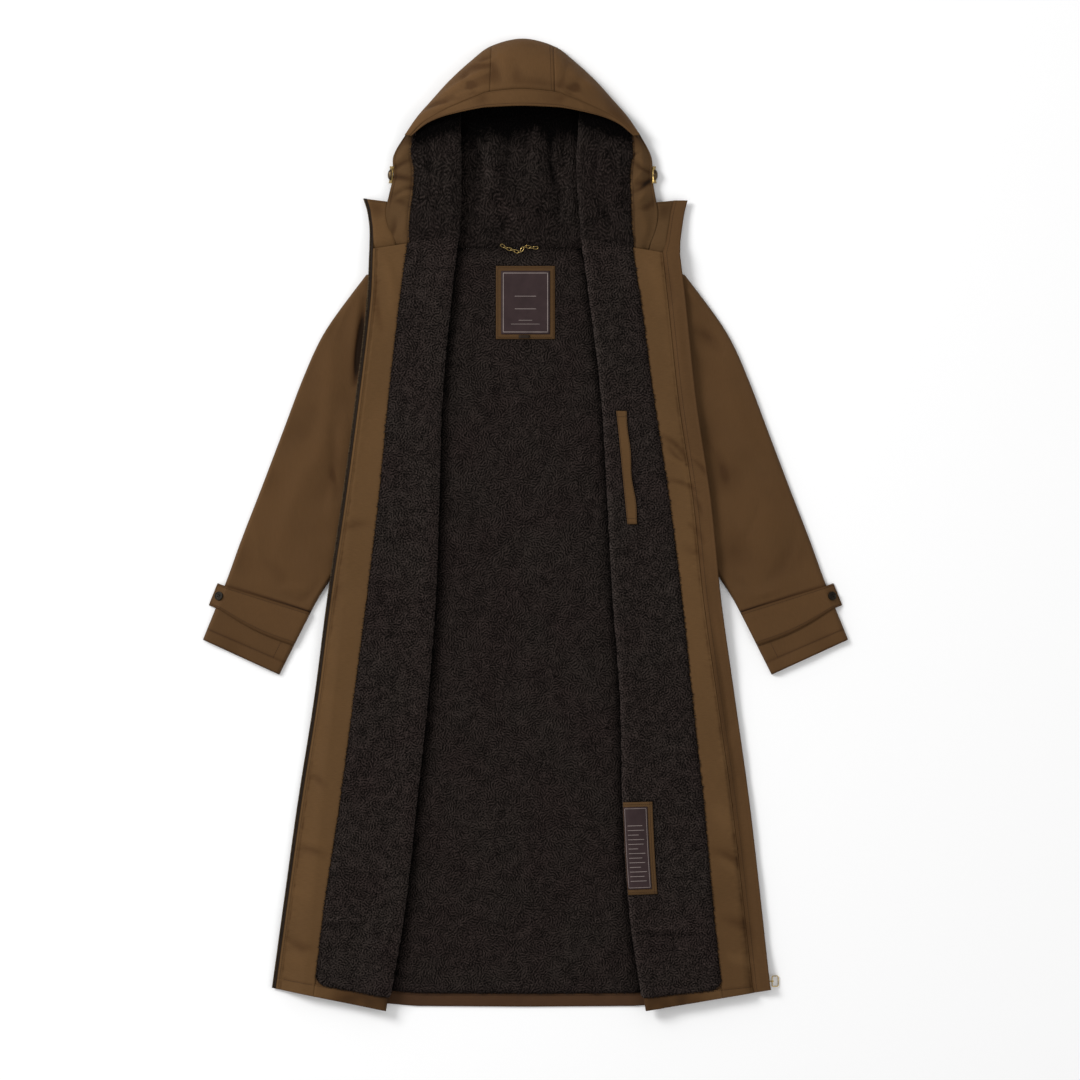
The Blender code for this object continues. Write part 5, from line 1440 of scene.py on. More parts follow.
def hood_facing(side, fold):
    up = rising(fold.start, fold.end, step=3.0)
    _, facing, _, _, width = (mark[:, None] for mark in fold.marks(up))
    share = np.linspace(0, 1, 26)
    outs = facing + GAP + (width - facing - GAP) * share
    swell = 2.2 * np.sin(np.pi * share) ** 2
    z = fold.height(up, outs) + SHELL / 2 + GAP + swell
    under = fold.place(up, outs, z)
    lip = 4 * np.clip(1 - (up - fold.start) / 5, 0, 1)[:, None]
    under[..., 1] -= lip
    under[..., 2] -= 0.6 * lip
    valley = 0.6 * bell(share - 0.12, 0.04) + 0.5 * bell(share, 0.04)
    tunnel = 0.6 * bell(share - 1, 0.04) + 0.45 * bell(share - 0.86, 0.035)
    valley = valley + tunnel * ease((up - TUNNEL_FROM) / 22)[:, None]
    # Painted shade: darker towards the top, under the brim, and in the seams and creases; paler on the creases'
    # ridges.
    shade = 1.1 * ease((under[..., 1] - SHADED_FROM) / 30)
    return cloth(
        f"hood_facing_{side}", raised(under, FACING - np.minimum(valley, 0.9)), under, PATCH_COTTON,
        f"hood_side_shell_{side}_cloth", painted_shading=painted_shading_of(0.9 * fold.lines(up, outs) - 0.9 * valley - shade),
    )


hood_facing("left", left_hood)
hood_facing("right", right_hood)
print("hood facings:", sum(n.startswith("hood_facing") for n in cuts))

# %% Neck guards
GUARD_ROW = ("in_up", "in_out", "in_z", "up", "out", "z")
LEFT_GUARD = [
    (1260.5, 212, 11.0, 1253.6, 250, 13.5),
    (1291, 226.5, 10.0, 1289, 250, 10.0),
    (1314, 230, 9.5, 1315, 254, 8.0),
    (1329, 228, 9.5, 1334, 260, 8.0),
]
RIGHT_GUARD = [
    (1251.8, 202, 11.0, 1247.6, 225, 14.0),
    (1286, 215, 10.0, 1285, 233, 10.5),
    (1312, 218, 9.5, 1311, 236, 9.0),
    (1328, 216.5, 9.5, 1331, 236.5, 9.0),
]


def neck_guard(side, sign, rows, edge_rows, strip, material):
    """The wing between the hood's edge and the zip, tucked under the edge strip and under the front's end."""
    keys = np.linspace(0, len(rows) - 1, 34)
    at = {name: curve(keys)[:, None] for name, curve in columns(GUARD_ROW, rows, numbered=True).items()}
    share = np.linspace(0, 1, 24)
    edge_up, edge_out, _ = zip(*edge_rows)
    inside, reach = at["in_out"] - 1.9, np.interp(at["up"], edge_up, edge_out) - strip + 4.0
    x = sign * (inside + (np.maximum(reach, at["out"]) - inside) * share)
    foot = 1 - ease(keys / 0.35)[:, None]
    up = at["in_up"] + (at["up"] - at["in_up"]) * share - 4.5 * foot
    tuck = np.maximum(ease((share - 0.78) / 0.18), foot)
    z = at["in_z"] + (at["z"] - at["in_z"]) * share - 2.8 * tuck - 1.3 * ease(1 - share / 0.12)
    low = laid_at(x, up, z)
    far = (len(rows) - 1 - keys)[:, None]
    valley = 0.6 * bell(far, 0.1) - 0.7 * np.sin(np.pi * share) * np.sin(keys * 1.9 + 0.6)[:, None]
    # Painted light and shade: darker in the guard's valleys, paler on its folds.
    return cloth(
        f"neck_guard_{side}", raised(low, GUARD - valley), low, material,
        f"hood_side_shell_{side}_cloth", painted_shading=painted_shading_of(-valley),
    )


neck_guard("left", -1, LEFT_GUARD, LEFT_GUARD_EDGE, ZIP_TAPE - GAP, FACING_COTTON)
neck_guard("right", 1, RIGHT_GUARD, RIGHT_GUARD_EDGE, 0.8 * PLACKET, PATCH_COTTON)
print("hood pieces:", sum(n.startswith("hood") or "guard" in n for n in cuts))

# %% [markdown]
# ## Sleeves and cuff straps
#
# A sleeve lies flat beside the coat, partly under the turned-back front. Its section is a flat strip with round
# edges. It gets the deepest creases of the coat: a long ridge down the middle, pulls at the armhole and gathers
# above the strap. The strap lies across the cuff and its tab bends down over the sleeve's outer edge.

# %% Sleeve surface
SLEEVE_ROW = ("up", "out", "in_up", "in_out")
SLEEVES = [
    (1217, 259, 916, 273.5),
    (1163, 299, 881, 278),
    (1102, 337, 840, 283),
    (1036, 366.5, 794, 288.5),
    (958, 396, 753, 299),
    (863, 432, 717, 315.5),
    (774, 466.5, 685.5, 335.5),
    (704, 492, 654, 353),
    (610.5, 529.5, 553, 404),
]
SLEEVE = 3.0  # a panel with its lining
SLEEVE_TOP, SLEEVE_HEAD, HEAD_ROWS, SLEEVE_ROUND = 9.0, 13.9, 1.3, 7.0
HEAD_DROP, ARMHOLE_GAP, ARMHOLE_TUCK, TUCK_FROM = 4.5, 1.8, 8, 1165
sleeve = columns(SLEEVE_ROW, SLEEVES, numbered=True)


def sleeve_place(sign, row, s, z):
    """Points of a sleeve: its row numbers, the distance from its outer edge and the height."""
    outer = np.stack([sleeve["out"](row), sleeve["up"](row)], -1)
    inner = np.stack([sleeve["in_out"](row), sleeve["in_up"](row)], -1)
    along = (inner - outer) / np.linalg.norm(inner - outer, axis=-1, keepdims=True)
    flat = outer + along * s[..., None]
    flat[..., 1] -= HEAD_DROP * ease(1.4 - row / 1.4) * ease(1 - s / 80)
    head = ease(1 - row / (0.07 + 0.43 * ease(s / 50)))
    armhole = side_out(flat[..., 1]) + ARMHOLE_GAP - ARMHOLE_TUCK * ease((flat[..., 1] - TUCK_FROM) / 35)
    out = flat[..., 0] + (armhole - flat[..., 0]) * head
    return np.stack([sign * out, flat[..., 1], z], -1)


def sleeve_width(row):
    return np.hypot(sleeve["in_out"](row) - sleeve["out"](row), sleeve["in_up"](row) - sleeve["up"](row))


print("sleeve", round(float(sleeve_width(np.array([4.0]))[0])), "mm wide at the elbow")

# %% Creases of the sleeves
LEFT_SLEEVE_CREASES = [
    (-264, 1208, -312, 1108, -4, 6, 1.8), (-318, 1100, -340, 900, 4, 14, 2.4),
    (-264, 1168, -279, 1030, 0, 7, -5.5), (-314, 960, -319, 880, 2, 8, -1.7),
    (-318, 890, -312, 838, 4, 7, -1.4), (-306, 880, -322, 812, -3, 8, 1.2), (-350, 905, -410, 740, -9, 17, 1.9),
    (-372, 1000, -318, 960, 6, 15, -1.5), (-338, 706, -380, 668, 5, 8, -1.5),
    (-352, 690, -410, 690, -5, 9, 1.4), (-432, 742, -392, 700, 6, 11, -1.2), (-462, 690, -430, 640, 4, 9, -0.7),
    (-450, 800, -436, 745, 4, 9, 1.1),
]
RIGHT_SLEEVE_CREASES = [
    (257, 1192, 300, 1148, 0, 4, 1.5), (263, 1198, 292, 1168, 0, 4, -1.3), (270, 1120, 320, 1084, 7, 10, -1.6),
    (278, 1140, 330, 1110, 6, 12, 1.6), (284, 1090, 340, 1040, 5, 11, 1.5), (330, 1060, 388, 900, -11, 18, 2.2),
    (352, 910, 420, 740, 9, 18, 1.8), (300, 935, 330, 860, 6, 10, -1.5), (342, 712, 386, 672, 5, 8, -1.5),
    (356, 692, 412, 688, -4, 9, 1.4), (428, 752, 396, 706, 6, 11, -1.2), (384, 836, 360, 778, 5, 9, -1.1),
    (452, 806, 440, 740, 4, 9, 1.1),
]
print("creases on the sleeves:", len(LEFT_SLEEVE_CREASES), "and", len(RIGHT_SLEEVE_CREASES))

# %% Height of a sleeve
# STRAP_SHADE is the row of a painted shadow along the strap's upper edge.
CUFF_SEAM, STRAP_ROWS, STRAP_SHADE = 7.81, (6.95, 7.62), 7.045  # in sleeve rows


def sleeve_relief(sign, row, s):
    """Creases of a sleeve; under the strap they are pressed flat."""
    spot = sleeve_place(sign, row, s, 0 * s)
    table = LEFT_SLEEVE_CREASES if sign < 0 else RIGHT_SLEEVE_CREASES
    bumps = relief(table, spot) + 0.6 * waves_at(spot[..., 0] + 300, spot[..., 1])
    from_edge = np.minimum(s, sleeve_width(row) - s)
    pressed = 1 - 0.85 * within(row, *STRAP_ROWS, 0.25)
    return np.maximum(bumps, np.where(row < 2, -4.5, -2.4)) * ease(from_edge / 16) * pressed


def sleeve_height(row, s):
    top = SLEEVE_TOP + (SLEEVE_HEAD - SLEEVE_TOP) * ease(1 - row / HEAD_ROWS)
    width = sleeve_width(row)
    from_edge = np.minimum(s, width - s)
    curve = np.sqrt(np.clip(1 - (1 - np.clip(from_edge / SLEEVE_ROUND, 0, 1)) ** 2, 0, 1))
    long_fold = 1.6 * bell(s / width - 0.34 - 0.02 * row, 0.14) * np.sin(np.pi * np.minimum(row, 7) / 7)
    return top * curve + long_fold * ease(from_edge / 25)


print("sleeve", SLEEVE_TOP, "mm high, at its head", SLEEVE_HEAD)


# %% Sleeve panels
def sleeve_cloth(side, sign):
    row = np.linspace(0, len(SLEEVES) - 1, 260)[:, None]
    width = sleeve_width(row)
    turn = SLEEVE_ROUND * (1 - np.cos(np.pi / 2 * np.arange(8) / 8))
    middle = SLEEVE_ROUND + (width - 2 * SLEEVE_ROUND) * np.linspace(0, 1, 44)
    s = np.concatenate([turn + 0 * width, middle, width - turn[::-1]], 1)
    row = row + 0 * s
    bumps = sleeve_relief(sign, row, s)
    z = sleeve_height(row, s) + bumps
    cuff = 0.5 * bell(row - CUFF_SEAM, 0.02) + 0.7 * bell(row - 8, 0.02)
    share = s / width
    # Painted shadow along the strap's upper edge, darker towards the sleeve's inner side.
    strap_shadow = bell(row - STRAP_SHADE + 0.07 * share, 0.032) * (0.35 + 0.65 * share)
    top = sleeve_place(sign, row, s, np.maximum(z - cuff * ease(np.minimum(s, width - s) / 4), 0))
    in_s, in_z = moved_out(s, z, -SLEEVE)
    in_z = np.maximum(in_z, 0)
    in_s[:, 0], in_s[:, -1], in_z[:, 0], in_z[:, -1] = s[:, 0] + SLEEVE, s[:, -1] - SLEEVE, 0, 0
    inner = sleeve_place(sign, row, in_s, in_z)
    # Painted light and shade: paler on ridges, darker in troughs, much darker in the deepest troughs, in the cuff
    # seams and in the strap's shadow.
    cloth(
        f"sleeve_upper_{side}", top, thinned(inner, 2), COTTON, f"sleeve_under_{side}_cloth",
        painted_shading=painted_shading_of(0.19 * bumps - 0.6 * np.clip(-bumps - 1.8, 0, 2.7) - 1.2 * cuff - 1.9 * strap_shadow),
    )
    row = np.linspace(0, len(SLEEVES) - 1, 60)[:, None]
    width = sleeve_width(row)
    s = SLEEVE + 1.2 + (width - 2 * SLEEVE - 2.4) * np.linspace(0, 1, 16)
    row = row + 0 * s
    dent = 0.3 * np.clip(waves_at(row * 110, s * 2), 0, 2) * within(s, 20, width - 20, 15)
    low = sleeve_place(sign, row, s, dent)
    cloth(f"sleeve_under_{side}", raised(low, SLEEVE - 0.6), low, COTTON, "pale_floor")


sleeve_cloth("left", -1)
sleeve_cloth("right", 1)
print("sleeve panels:", sum(n.startswith("sleeve") for n in cuts))

# %% Under face of a strap
STRAP_TAB, STRAP_SEAM = (7.06, 0.40), (6.99, 0.58)  # start and width in sleeve rows
STRAP, STRAP_LIFT, STRAP_REACH, STRAP_END_Z = 1.8, 0.7, 11.5, 0.4
TAB_STEPS, STRAP_COLUMNS = 8, 13


def grid_normals(grid):
    """Unit normals of a grid of points, on its upper side."""
    normal = np.cross(np.gradient(grid, axis=0), np.gradient(grid, axis=1))
    normal /= np.maximum(np.linalg.norm(normal, axis=-1, keepdims=True), 1e-9)
    return normal * np.where(normal.mean(axis=(0, 1))[2] < 0, -1, 1)


def strap_low(sign, across):
    """The strap's under face: rows along it from the inner seam to the tab, columns across it."""
    rows = []
    round_in, round_out = np.radians(np.linspace(45, 90, 5))[:-1], np.radians(np.linspace(90, 67.5, 4))[1:]
    stations = [("in", a) for a in round_in] + [("flat", t) for t in np.linspace(1, 0, 34)]
    stations += [("out", a) for a in round_out]
    for kind, value in stations:
        share = value if kind == "flat" else float(kind == "in")
        start = STRAP_TAB[0] + (STRAP_SEAM[0] - STRAP_TAB[0]) * share
        wide = STRAP_TAB[1] + (STRAP_SEAM[1] - STRAP_TAB[1]) * share + 0.05 * math.sin(math.pi * share)
        row = start + across * wide
        width = sleeve_width(row)
        if kind == "flat":
            s, z = SLEEVE_ROUND + (width - 2 * SLEEVE_ROUND) * value, np.full_like(row, SLEEVE_TOP + STRAP_LIFT)
        else:
            s = SLEEVE_ROUND * (1 - math.cos(value))
            s = width - s if kind == "in" else s + 0 * row
            lean = np.array([SLEEVE_TOP * math.cos(value), SLEEVE_ROUND * math.sin(value)])
            lean *= STRAP_LIFT / np.linalg.norm(lean)
            s, z = s + (lean[0] if kind == "in" else -lean[0]), SLEEVE_TOP * math.sin(value) + lean[1] + 0 * row
        rows.append(sleeve_place(sign, row, s, z))
    row = STRAP_TAB[0] + across * STRAP_TAB[1]
    tab = sleeve_place(sign, row, np.full_like(row, -STRAP_REACH), np.full_like(row, STRAP_END_Z))
    last = rows[-1]
    rows += [last + (tab - last) * t for t in np.linspace(0, 1, TAB_STEPS + 1)[1:]]
    return np.array(rows)


print("strap reaches", STRAP_REACH, "mm past the sleeve")


# %% Cuff straps
def strap_cloth(side, sign):
    low = strap_low(sign, np.linspace(0, 1, STRAP_COLUMNS))
    number = np.arange(STRAP_COLUMNS)
    rim = np.minimum(number, number[::-1]) * 3.4
    valley = 0.3 * bell(rim - 3.6, 1.6) + 0.55 * bell(rim, 1.0)
    top = low + grid_normals(low) * (STRAP - valley)[None, :, None]
    # Painted shade in the sewn valleys along the strap's edges; the strap is a little paler all over.
    cloth(
        f"cuff_strap_{side}", top, low, COTTON, f"sleeve_upper_{side}_cloth",
        painted_shading=painted_shading_of(0 * top[..., 0] - 1.5 * valley + 0.25),
    )
    return top


strap_tops = {"left": strap_cloth("left", -1), "right": strap_cloth("right", 1)}
print("strap", round(float(np.linalg.norm(strap_tops["left"][20, 0] - strap_tops["left"][20, -1]))), "mm wide")

# %% [markdown]
# ## Buttons, chain and locks
#
# The hard trimmings are modelled as one would by hand. A button starts as a cylinder: its top face is inset and
# pushed down to make the dish, four holes are cut, and the rim is bevelled. A chain link is a torus pulled apart
# into a long oval. The cord lock is a bar with flared ends and a dome on its outer side. Each is made once and
# copied to its places.

# %% Modelling helpers
def fresh(adder, **values):
    """Adds a primitive with nothing else selected, and returns it."""
    bpy.ops.object.select_all(action="DESELECT")
    adder(**values)
    return bpy.context.object


def in_edit(made, mode="VERT"):
    bpy.context.view_layer.objects.active = made
    bpy.ops.object.mode_set(mode="EDIT")
    bpy.ops.mesh.select_mode(type=mode)
    bpy.ops.mesh.select_all(action="DESELECT")
    bpy.ops.object.mode_set(mode="OBJECT")


def pick(made, test, faces=False):
    """Selects the vertices or faces that pass a test on their place, and enters edit mode."""
    in_edit(made, "FACE" if faces else "VERT")
    for item in made.data.polygons if faces else made.data.vertices:
        item.select = bool(test(item.center if faces else item.co))
    bpy.ops.object.mode_set(mode="EDIT")


def done():
    bpy.ops.object.mode_set(mode="OBJECT")


def apply_modifier(made, kind, **values):
    change = made.modifiers.new(kind.lower(), kind)
    for name, value in values.items():
        setattr(change, name, value)
    bpy.context.view_layer.objects.active = made
    bpy.ops.object.modifier_apply(modifier=change.name)


def smoothed(made, degrees):
    """Smooth shading, with edges crisp where the faces meet at more than this angle."""
    bpy.ops.object.select_all(action="DESELECT")
    made.select_set(True)
    bpy.context.view_layer.objects.active = made
    bpy.ops.object.shade_smooth_by_angle(angle=math.radians(degrees))


def placed_copy(source, name, matrix, node, body="coat"):
    """A copy of a modelled piece with its own mesh, moved into place there."""
    mesh = source.data.copy()
    mesh.transform(matrix)
    made = bpy.data.objects.new(name, mesh)
    bpy.context.scene.collection.objects.link(made)
    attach(made, body)
    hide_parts(node)
    return made


def spot(point):
    return Vector((point[0] * MM, (point[1] - MIDDLE_UP) * MM, point[2] * MM))


print("neck seam at", round(spot((0, NECK_UP, 0)).y, 3), "m")

# %% Buttons
BUTTON_RADIUS, BUTTON_HEIGHT, HOLE_OUT = 7.2 * MM, 3.0 * MM, 2.1 * MM
BUTTON_LIFT = 2.5  # middle of a button above its strap, in millimetres
button = fresh(bpy.ops.mesh.primitive_cylinder_add, vertices=40, radius=BUTTON_RADIUS, depth=BUTTON_HEIGHT)
pick(button, lambda c: c.z > BUTTON_HEIGHT * 0.4, faces=True)
bpy.ops.mesh.inset(thickness=1.5 * MM)
bpy.ops.mesh.inset(thickness=0.7 * MM)
bpy.ops.transform.translate(value=(0, 0, -0.8 * MM))
done()
for k in range(4):
    a = math.radians(45 + 90 * k)
    hole = fresh(
        bpy.ops.mesh.primitive_cylinder_add, vertices=14, radius=0.95 * MM, depth=9 * MM,
        location=(HOLE_OUT * math.cos(a), HOLE_OUT * math.sin(a), 0),
    )
    apply_modifier(button, "BOOLEAN", object=hole, operation="DIFFERENCE", solver="EXACT")
    bpy.data.objects.remove(hole, do_unlink=True)
apply_modifier(button, "BEVEL", width=0.35 * MM, segments=2, limit_method="ANGLE", angle_limit=math.radians(50))
smoothed(button, 35)
button.data.materials.append(HORN)

for name, sign in (("left", -1), ("right", 1)):
    low = strap_low(sign, np.array([0.0, 0.5, 1.0]))
    hinge, tip_row = low[-TAB_STEPS - 1], low[-1]
    slope, edge = Vector(hinge[1] - tip_row[1]).normalized(), Vector(tip_row[0] - tip_row[2]).normalized()
    normal = slope.cross(edge).normalized()
    normal = normal if normal.z > 0 else -normal
    out_of = Vector(hinge[1]) + Vector((0, 0, STRAP)) * 0.9
    middle = out_of * 0.68 + (Vector(tip_row[1]) + normal * STRAP) * 0.32
    middle += normal * BUTTON_LIFT
    turn = Matrix((edge, normal.cross(edge), normal)).transposed().to_4x4()
    move = Matrix.Translation(spot(middle)) @ turn
    placed_copy(button, f"cuff_button_{name}_shape", move, f"cuff_button_{name}")
bpy.data.objects.remove(button, do_unlink=True)
print("buttons placed")

# %% Hanger chain
LINK_LENGTH, LINK_WIDTH, WIRE = 9.4, 6.0, 1.5
CHAIN_START, CHAIN_Z = (-37.5, 1256.5), BACK_TOP + 2.6
CHAIN = [-34, 6, 14, -4, -8, 48, 42, -46, -34, 10, 8]  # turn of each link from the one before it
LINK_TILTS = (-62, 22)
link = fresh(
    bpy.ops.mesh.primitive_torus_add, major_radius=(LINK_WIDTH - WIRE) / 2 * MM, minor_radius=0.36 * WIRE * MM,
    major_segments=28, minor_segments=10,
)
for side in (-1, 1):
    pick(link, lambda c: c.x * side > 1e-6)
    bpy.ops.transform.translate(value=(side * (LINK_LENGTH - LINK_WIDTH) / 2 * MM, 0, 0))
    done()
pick(link, lambda c: True)
bpy.ops.transform.resize(value=(1, 1, 0.94))
done()
bpy.ops.object.shade_smooth()
link.data.materials.append(BRASS)
heading, at = 0.0, Vector((*CHAIN_START, CHAIN_Z))
pitch = LINK_LENGTH - 2 * WIRE - GAP
for number, turn in enumerate(CHAIN, 1):
    heading += math.radians(turn)
    along = Vector((math.cos(heading), math.sin(heading), 0))
    at = at + along * pitch / 2 if number > 1 else at
    tilt = Matrix.Rotation(math.radians(LINK_TILTS[number % 2]), 4, "X")
    move = Matrix.Translation(spot(at)) @ Matrix.Rotation(heading, 4, "Z") @ tilt
    placed_copy(link, f"hanger_link_{number:02d}_shape", move, f"hanger_link_{number:02d}")
    at = at + along * pitch / 2
bpy.data.objects.remove(link, do_unlink=True)
print("chain links:", len(CHAIN))

# %% Cord lock, bar and dome
LOCK_LENGTH, LOCK_HEIGHT, LOCK_PLATE, LOCK_DOME, LOCK_Z, LOCK_UP = 28.0, 13.0, 3.0, 4.6, 8.2, 1373.0
LOCK_GAP, LOCK_TILT = 1.7, -28
lock = fresh(bpy.ops.mesh.primitive_cube_add, size=1)
pick(lock, lambda c: True)
bpy.ops.transform.resize(value=(LOCK_PLATE * MM, LOCK_LENGTH * MM, LOCK_HEIGHT * 0.62 * MM))
bpy.ops.mesh.subdivide(number_cuts=9)
done()
pick(lock, lambda c: abs(c.y) > LOCK_LENGTH * 0.41 * MM)
bpy.ops.transform.resize(value=(1, 1, 1.5))
done()
pick(lock, lambda c: abs(c.y) < LOCK_LENGTH * 0.24 * MM)
bpy.ops.transform.resize(value=(1, 1, 0.9))
done()
apply_modifier(lock, "BEVEL", width=0.45 * MM, segments=2, limit_method="ANGLE", angle_limit=math.radians(40))
lock.data.materials.append(OLD_BRASS)
dome = fresh(bpy.ops.mesh.primitive_uv_sphere_add, segments=28, ring_count=16, radius=1)
pick(dome, lambda c: True)
bpy.ops.transform.resize(
    value=(LOCK_DOME * MM, LOCK_LENGTH * 0.31 * MM, LOCK_HEIGHT * 0.40 * MM), center_override=(0, 0, 0)
)
bpy.ops.mesh.select_all(action="SELECT")
bpy.ops.mesh.bisect(plane_co=(0, 0, 0), plane_no=(1, 0, 0), clear_inner=True, use_fill=True)
bpy.ops.mesh.select_all(action="SELECT")
bpy.ops.transform.translate(value=(LOCK_PLATE / 2 * MM, 0, 0))
done()
dome.data.materials.append(DARK_BRASS)
for shape in (lock, dome):
    smoothed(shape, 40)
print("cord lock:", len(lock.data.polygons) + len(dome.data.polygons), "faces")

# %% Cord locks in their places
for name, sign, rows in (("left", -1, LEFT_HOOD), ("right", 1, RIGHT_HOOD)):
    out = column_through(rows, 3, key=2)
    lean = math.atan(float(out(LOCK_UP + 10) - out(LOCK_UP - 10)) / 20)
    face = float(out(LOCK_UP)) + LOCK_GAP + LOCK_PLATE / 2
    mirror = Matrix.Rotation(math.pi if sign < 0 else 0, 4, "Z")
    turned = Matrix.Rotation(-sign * lean, 4, "Z") @ mirror @ Matrix.Rotation(math.radians(LOCK_TILT), 4, "Y")
    move = Matrix.Translation(spot((sign * face, LOCK_UP, LOCK_Z))) @ turned
    placed_copy(lock, f"cord_lock_{name}_plate", move, f"cord_lock_{name}")
    placed_copy(dome, f"cord_lock_{name}_dome", move, f"cord_lock_{name}")
for shape in (lock, dome):
    bpy.data.objects.remove(shape, do_unlink=True)
print("cord locks placed")

# %% [markdown]
# ## Slider, ring and teeth
#
# The slider at the foot of the right front keeps its modelled shape and gets the brass. The ring that one pulls
# is a torus drawn out to a rounded rectangle; it rides on the body that swings. Teeth repeat hundreds of times,
# so a tooth has only ten faces, and the whole row is one mesh.

# %% Slider and ring
EYE = (404.6, 50.0, 7.0)
RING_LENGTH, RING_WIDTH, RING_WIRE, RING_TILT, CORNER = 11.5, 17.0, 1.8, 28.0, 2.6
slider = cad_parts["zip_slider"]
slider.data.materials.clear()
slider.data.materials.append(BRASS)
ring = fresh(
    bpy.ops.mesh.primitive_torus_add, major_radius=CORNER * MM, minor_radius=RING_WIRE / 2 * MM, major_segments=40,
    minor_segments=14,
)
for side in (-1, 1):
    pick(ring, lambda c: c.x * side > 1e-6)
    bpy.ops.transform.translate(value=(side * (RING_LENGTH / 2 - CORNER) * MM, 0, 0))
    done()
    pick(ring, lambda c: c.y * side > 1e-6)
    bpy.ops.transform.translate(value=(0, side * (RING_WIDTH / 2 - CORNER) * MM, 0))
    done()
bpy.ops.object.shade_smooth()
ring.data.materials.append(BRASS)
tilt = math.radians(RING_TILT)
far = Vector((math.cos(tilt), 0, -math.sin(tilt)))
turn = Matrix((far, (0, 1, 0), far.cross(Vector((0, 1, 0))))).transposed().to_4x4()
move = Matrix.Translation(spot(EYE) + far * RING_LENGTH / 2 * MM) @ turn
placed_copy(ring, "zip_pull_ring", move, "zip_pull", body="pull")
bpy.data.objects.remove(ring, do_unlink=True)
print("ring", RING_LENGTH, "x", RING_WIDTH, "mm")


# %% Rows of small things
def between(stops, along, rows):
    """Rows of three numbers at stops on the way along them."""
    return np.stack([np.interp(stops, along, column) for column in rows.T], -1)


def resampled(line, pitch):
    """Points along a line of points at an even pitch, and the direction there."""
    along = np.concatenate([[0], np.cumsum(np.linalg.norm(np.diff(line, axis=0), axis=1))])
    stops = np.arange(pitch / 2, along[-1], pitch)
    way = between(stops + 0.5, along, line) - between(stops - 0.5, along, line)
    return between(stops, along, line), way / np.linalg.norm(way, axis=1, keepdims=True), stops, along


def ring_quads(bands):
    """Faces of a small shape: so many bands between rings of four points, and a face at each end."""
    quads = []
    for k in range(0, 4 * bands, 4):
        quads += [[k + i, k + (i + 1) % 4, k + 4 + (i + 1) % 4, k + 4 + i] for i in range(4)]
    return np.array(quads + [[3, 2, 1, 0], [4 * bands + i for i in range(4)]])


def row_of(name, shape, quads, places, material):
    """One mesh of many copies of a small shape: places are (points, directions, normals) in millimetres."""
    all_points, all_quads, count = [], [], 0
    for points, way, normal in places:
        aside = np.cross(normal, way)
        aside /= np.linalg.norm(aside, axis=1, keepdims=True)
        upright = np.cross(way, aside)
        basis = np.stack([way, aside, upright], 1)
        put = points[:, None] + np.einsum("vk,nkc->nvc", shape, basis)
        all_points.append(put.reshape(-1, 3))
        numbers = np.arange(len(points))[:, None, None] * len(shape) + quads[None]
        all_quads.append(numbers.reshape(-1, 4) + count)
        count += put.shape[0] * put.shape[1]
    points = (np.concatenate(all_points) - (0, MIDDLE_UP, 0)) * MM
    made, _ = mesh_object(name, points, np.concatenate(all_quads), [], material)
    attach(made, "coat")
    return made


print("faces of a stitch:", len(ring_quads(3)))

# %% Zip teeth
TOOTH_PITCH = 2.7
blocks = [(0.75, 1.5, 0.0), (0.75, 1.5, 1.0), (0.45, 1.1, 1.6)]  # half length, half width, height
tooth = np.array([(x * a, y * b, h) for a, b, h in blocks for x, y in ((-1, -1), (1, -1), (1, 1), (-1, 1))])
for name, tape in (("left", tape_left), ("right", tape_right)):
    line = raised(tape, TAPE_THICK)[:, -2]
    points, way, _, _ = resampled(line, TOOTH_PITCH)
    straight_up = np.broadcast_to([0.0, 0.0, 1.0], points.shape)
    row_of(f"zip_teeth_{name}", tooth, ring_quads(2), [(points, way, straight_up)], DARK_BRASS)
    print("teeth", name, len(points))

# %% [markdown]
# ## Stitches and label lines
#
# Stitching is what makes cloth look sewn. Every seam that shows has a line of stitches, some three millimetres
# each, in thread a shade darker than the cotton. The lines are taken from the rows and columns of the cloth grids,
# so they follow every fold. A stitch is a spindle of fourteen faces, and all the stitches of a region are one mesh.

# %% Stitches
STITCH, PITCH, THREAD_WIDE, THREAD_HIGH = 2.6, 3.3, 0.75, 0.42
rings = [(-0.5, 0.35), (-0.3, 1.0), (0.3, 1.0), (0.5, 0.35)]  # share of the length, size
round_ = [(-THREAD_WIDE / 2, 0.0), (0.0, -0.2), (THREAD_WIDE / 2, 0.0), (0.0, THREAD_HIGH)]
spindle = np.array([(x * STITCH, y * size, z * size) for x, size in rings for y, z in round_])


def seam(node, kind, number, start=0, stop=None):
    """A row or column of a cloth's upper grid as places for stitches."""
    part = (number, slice(start, stop)) if kind == "row" else (slice(start, stop), number)
    points, way, stops, along = resampled(tops[node][part], PITCH)
    return points, way, between(stops, along, grid_normals(tops[node])[part])


print("stitch", STITCH, "mm long")

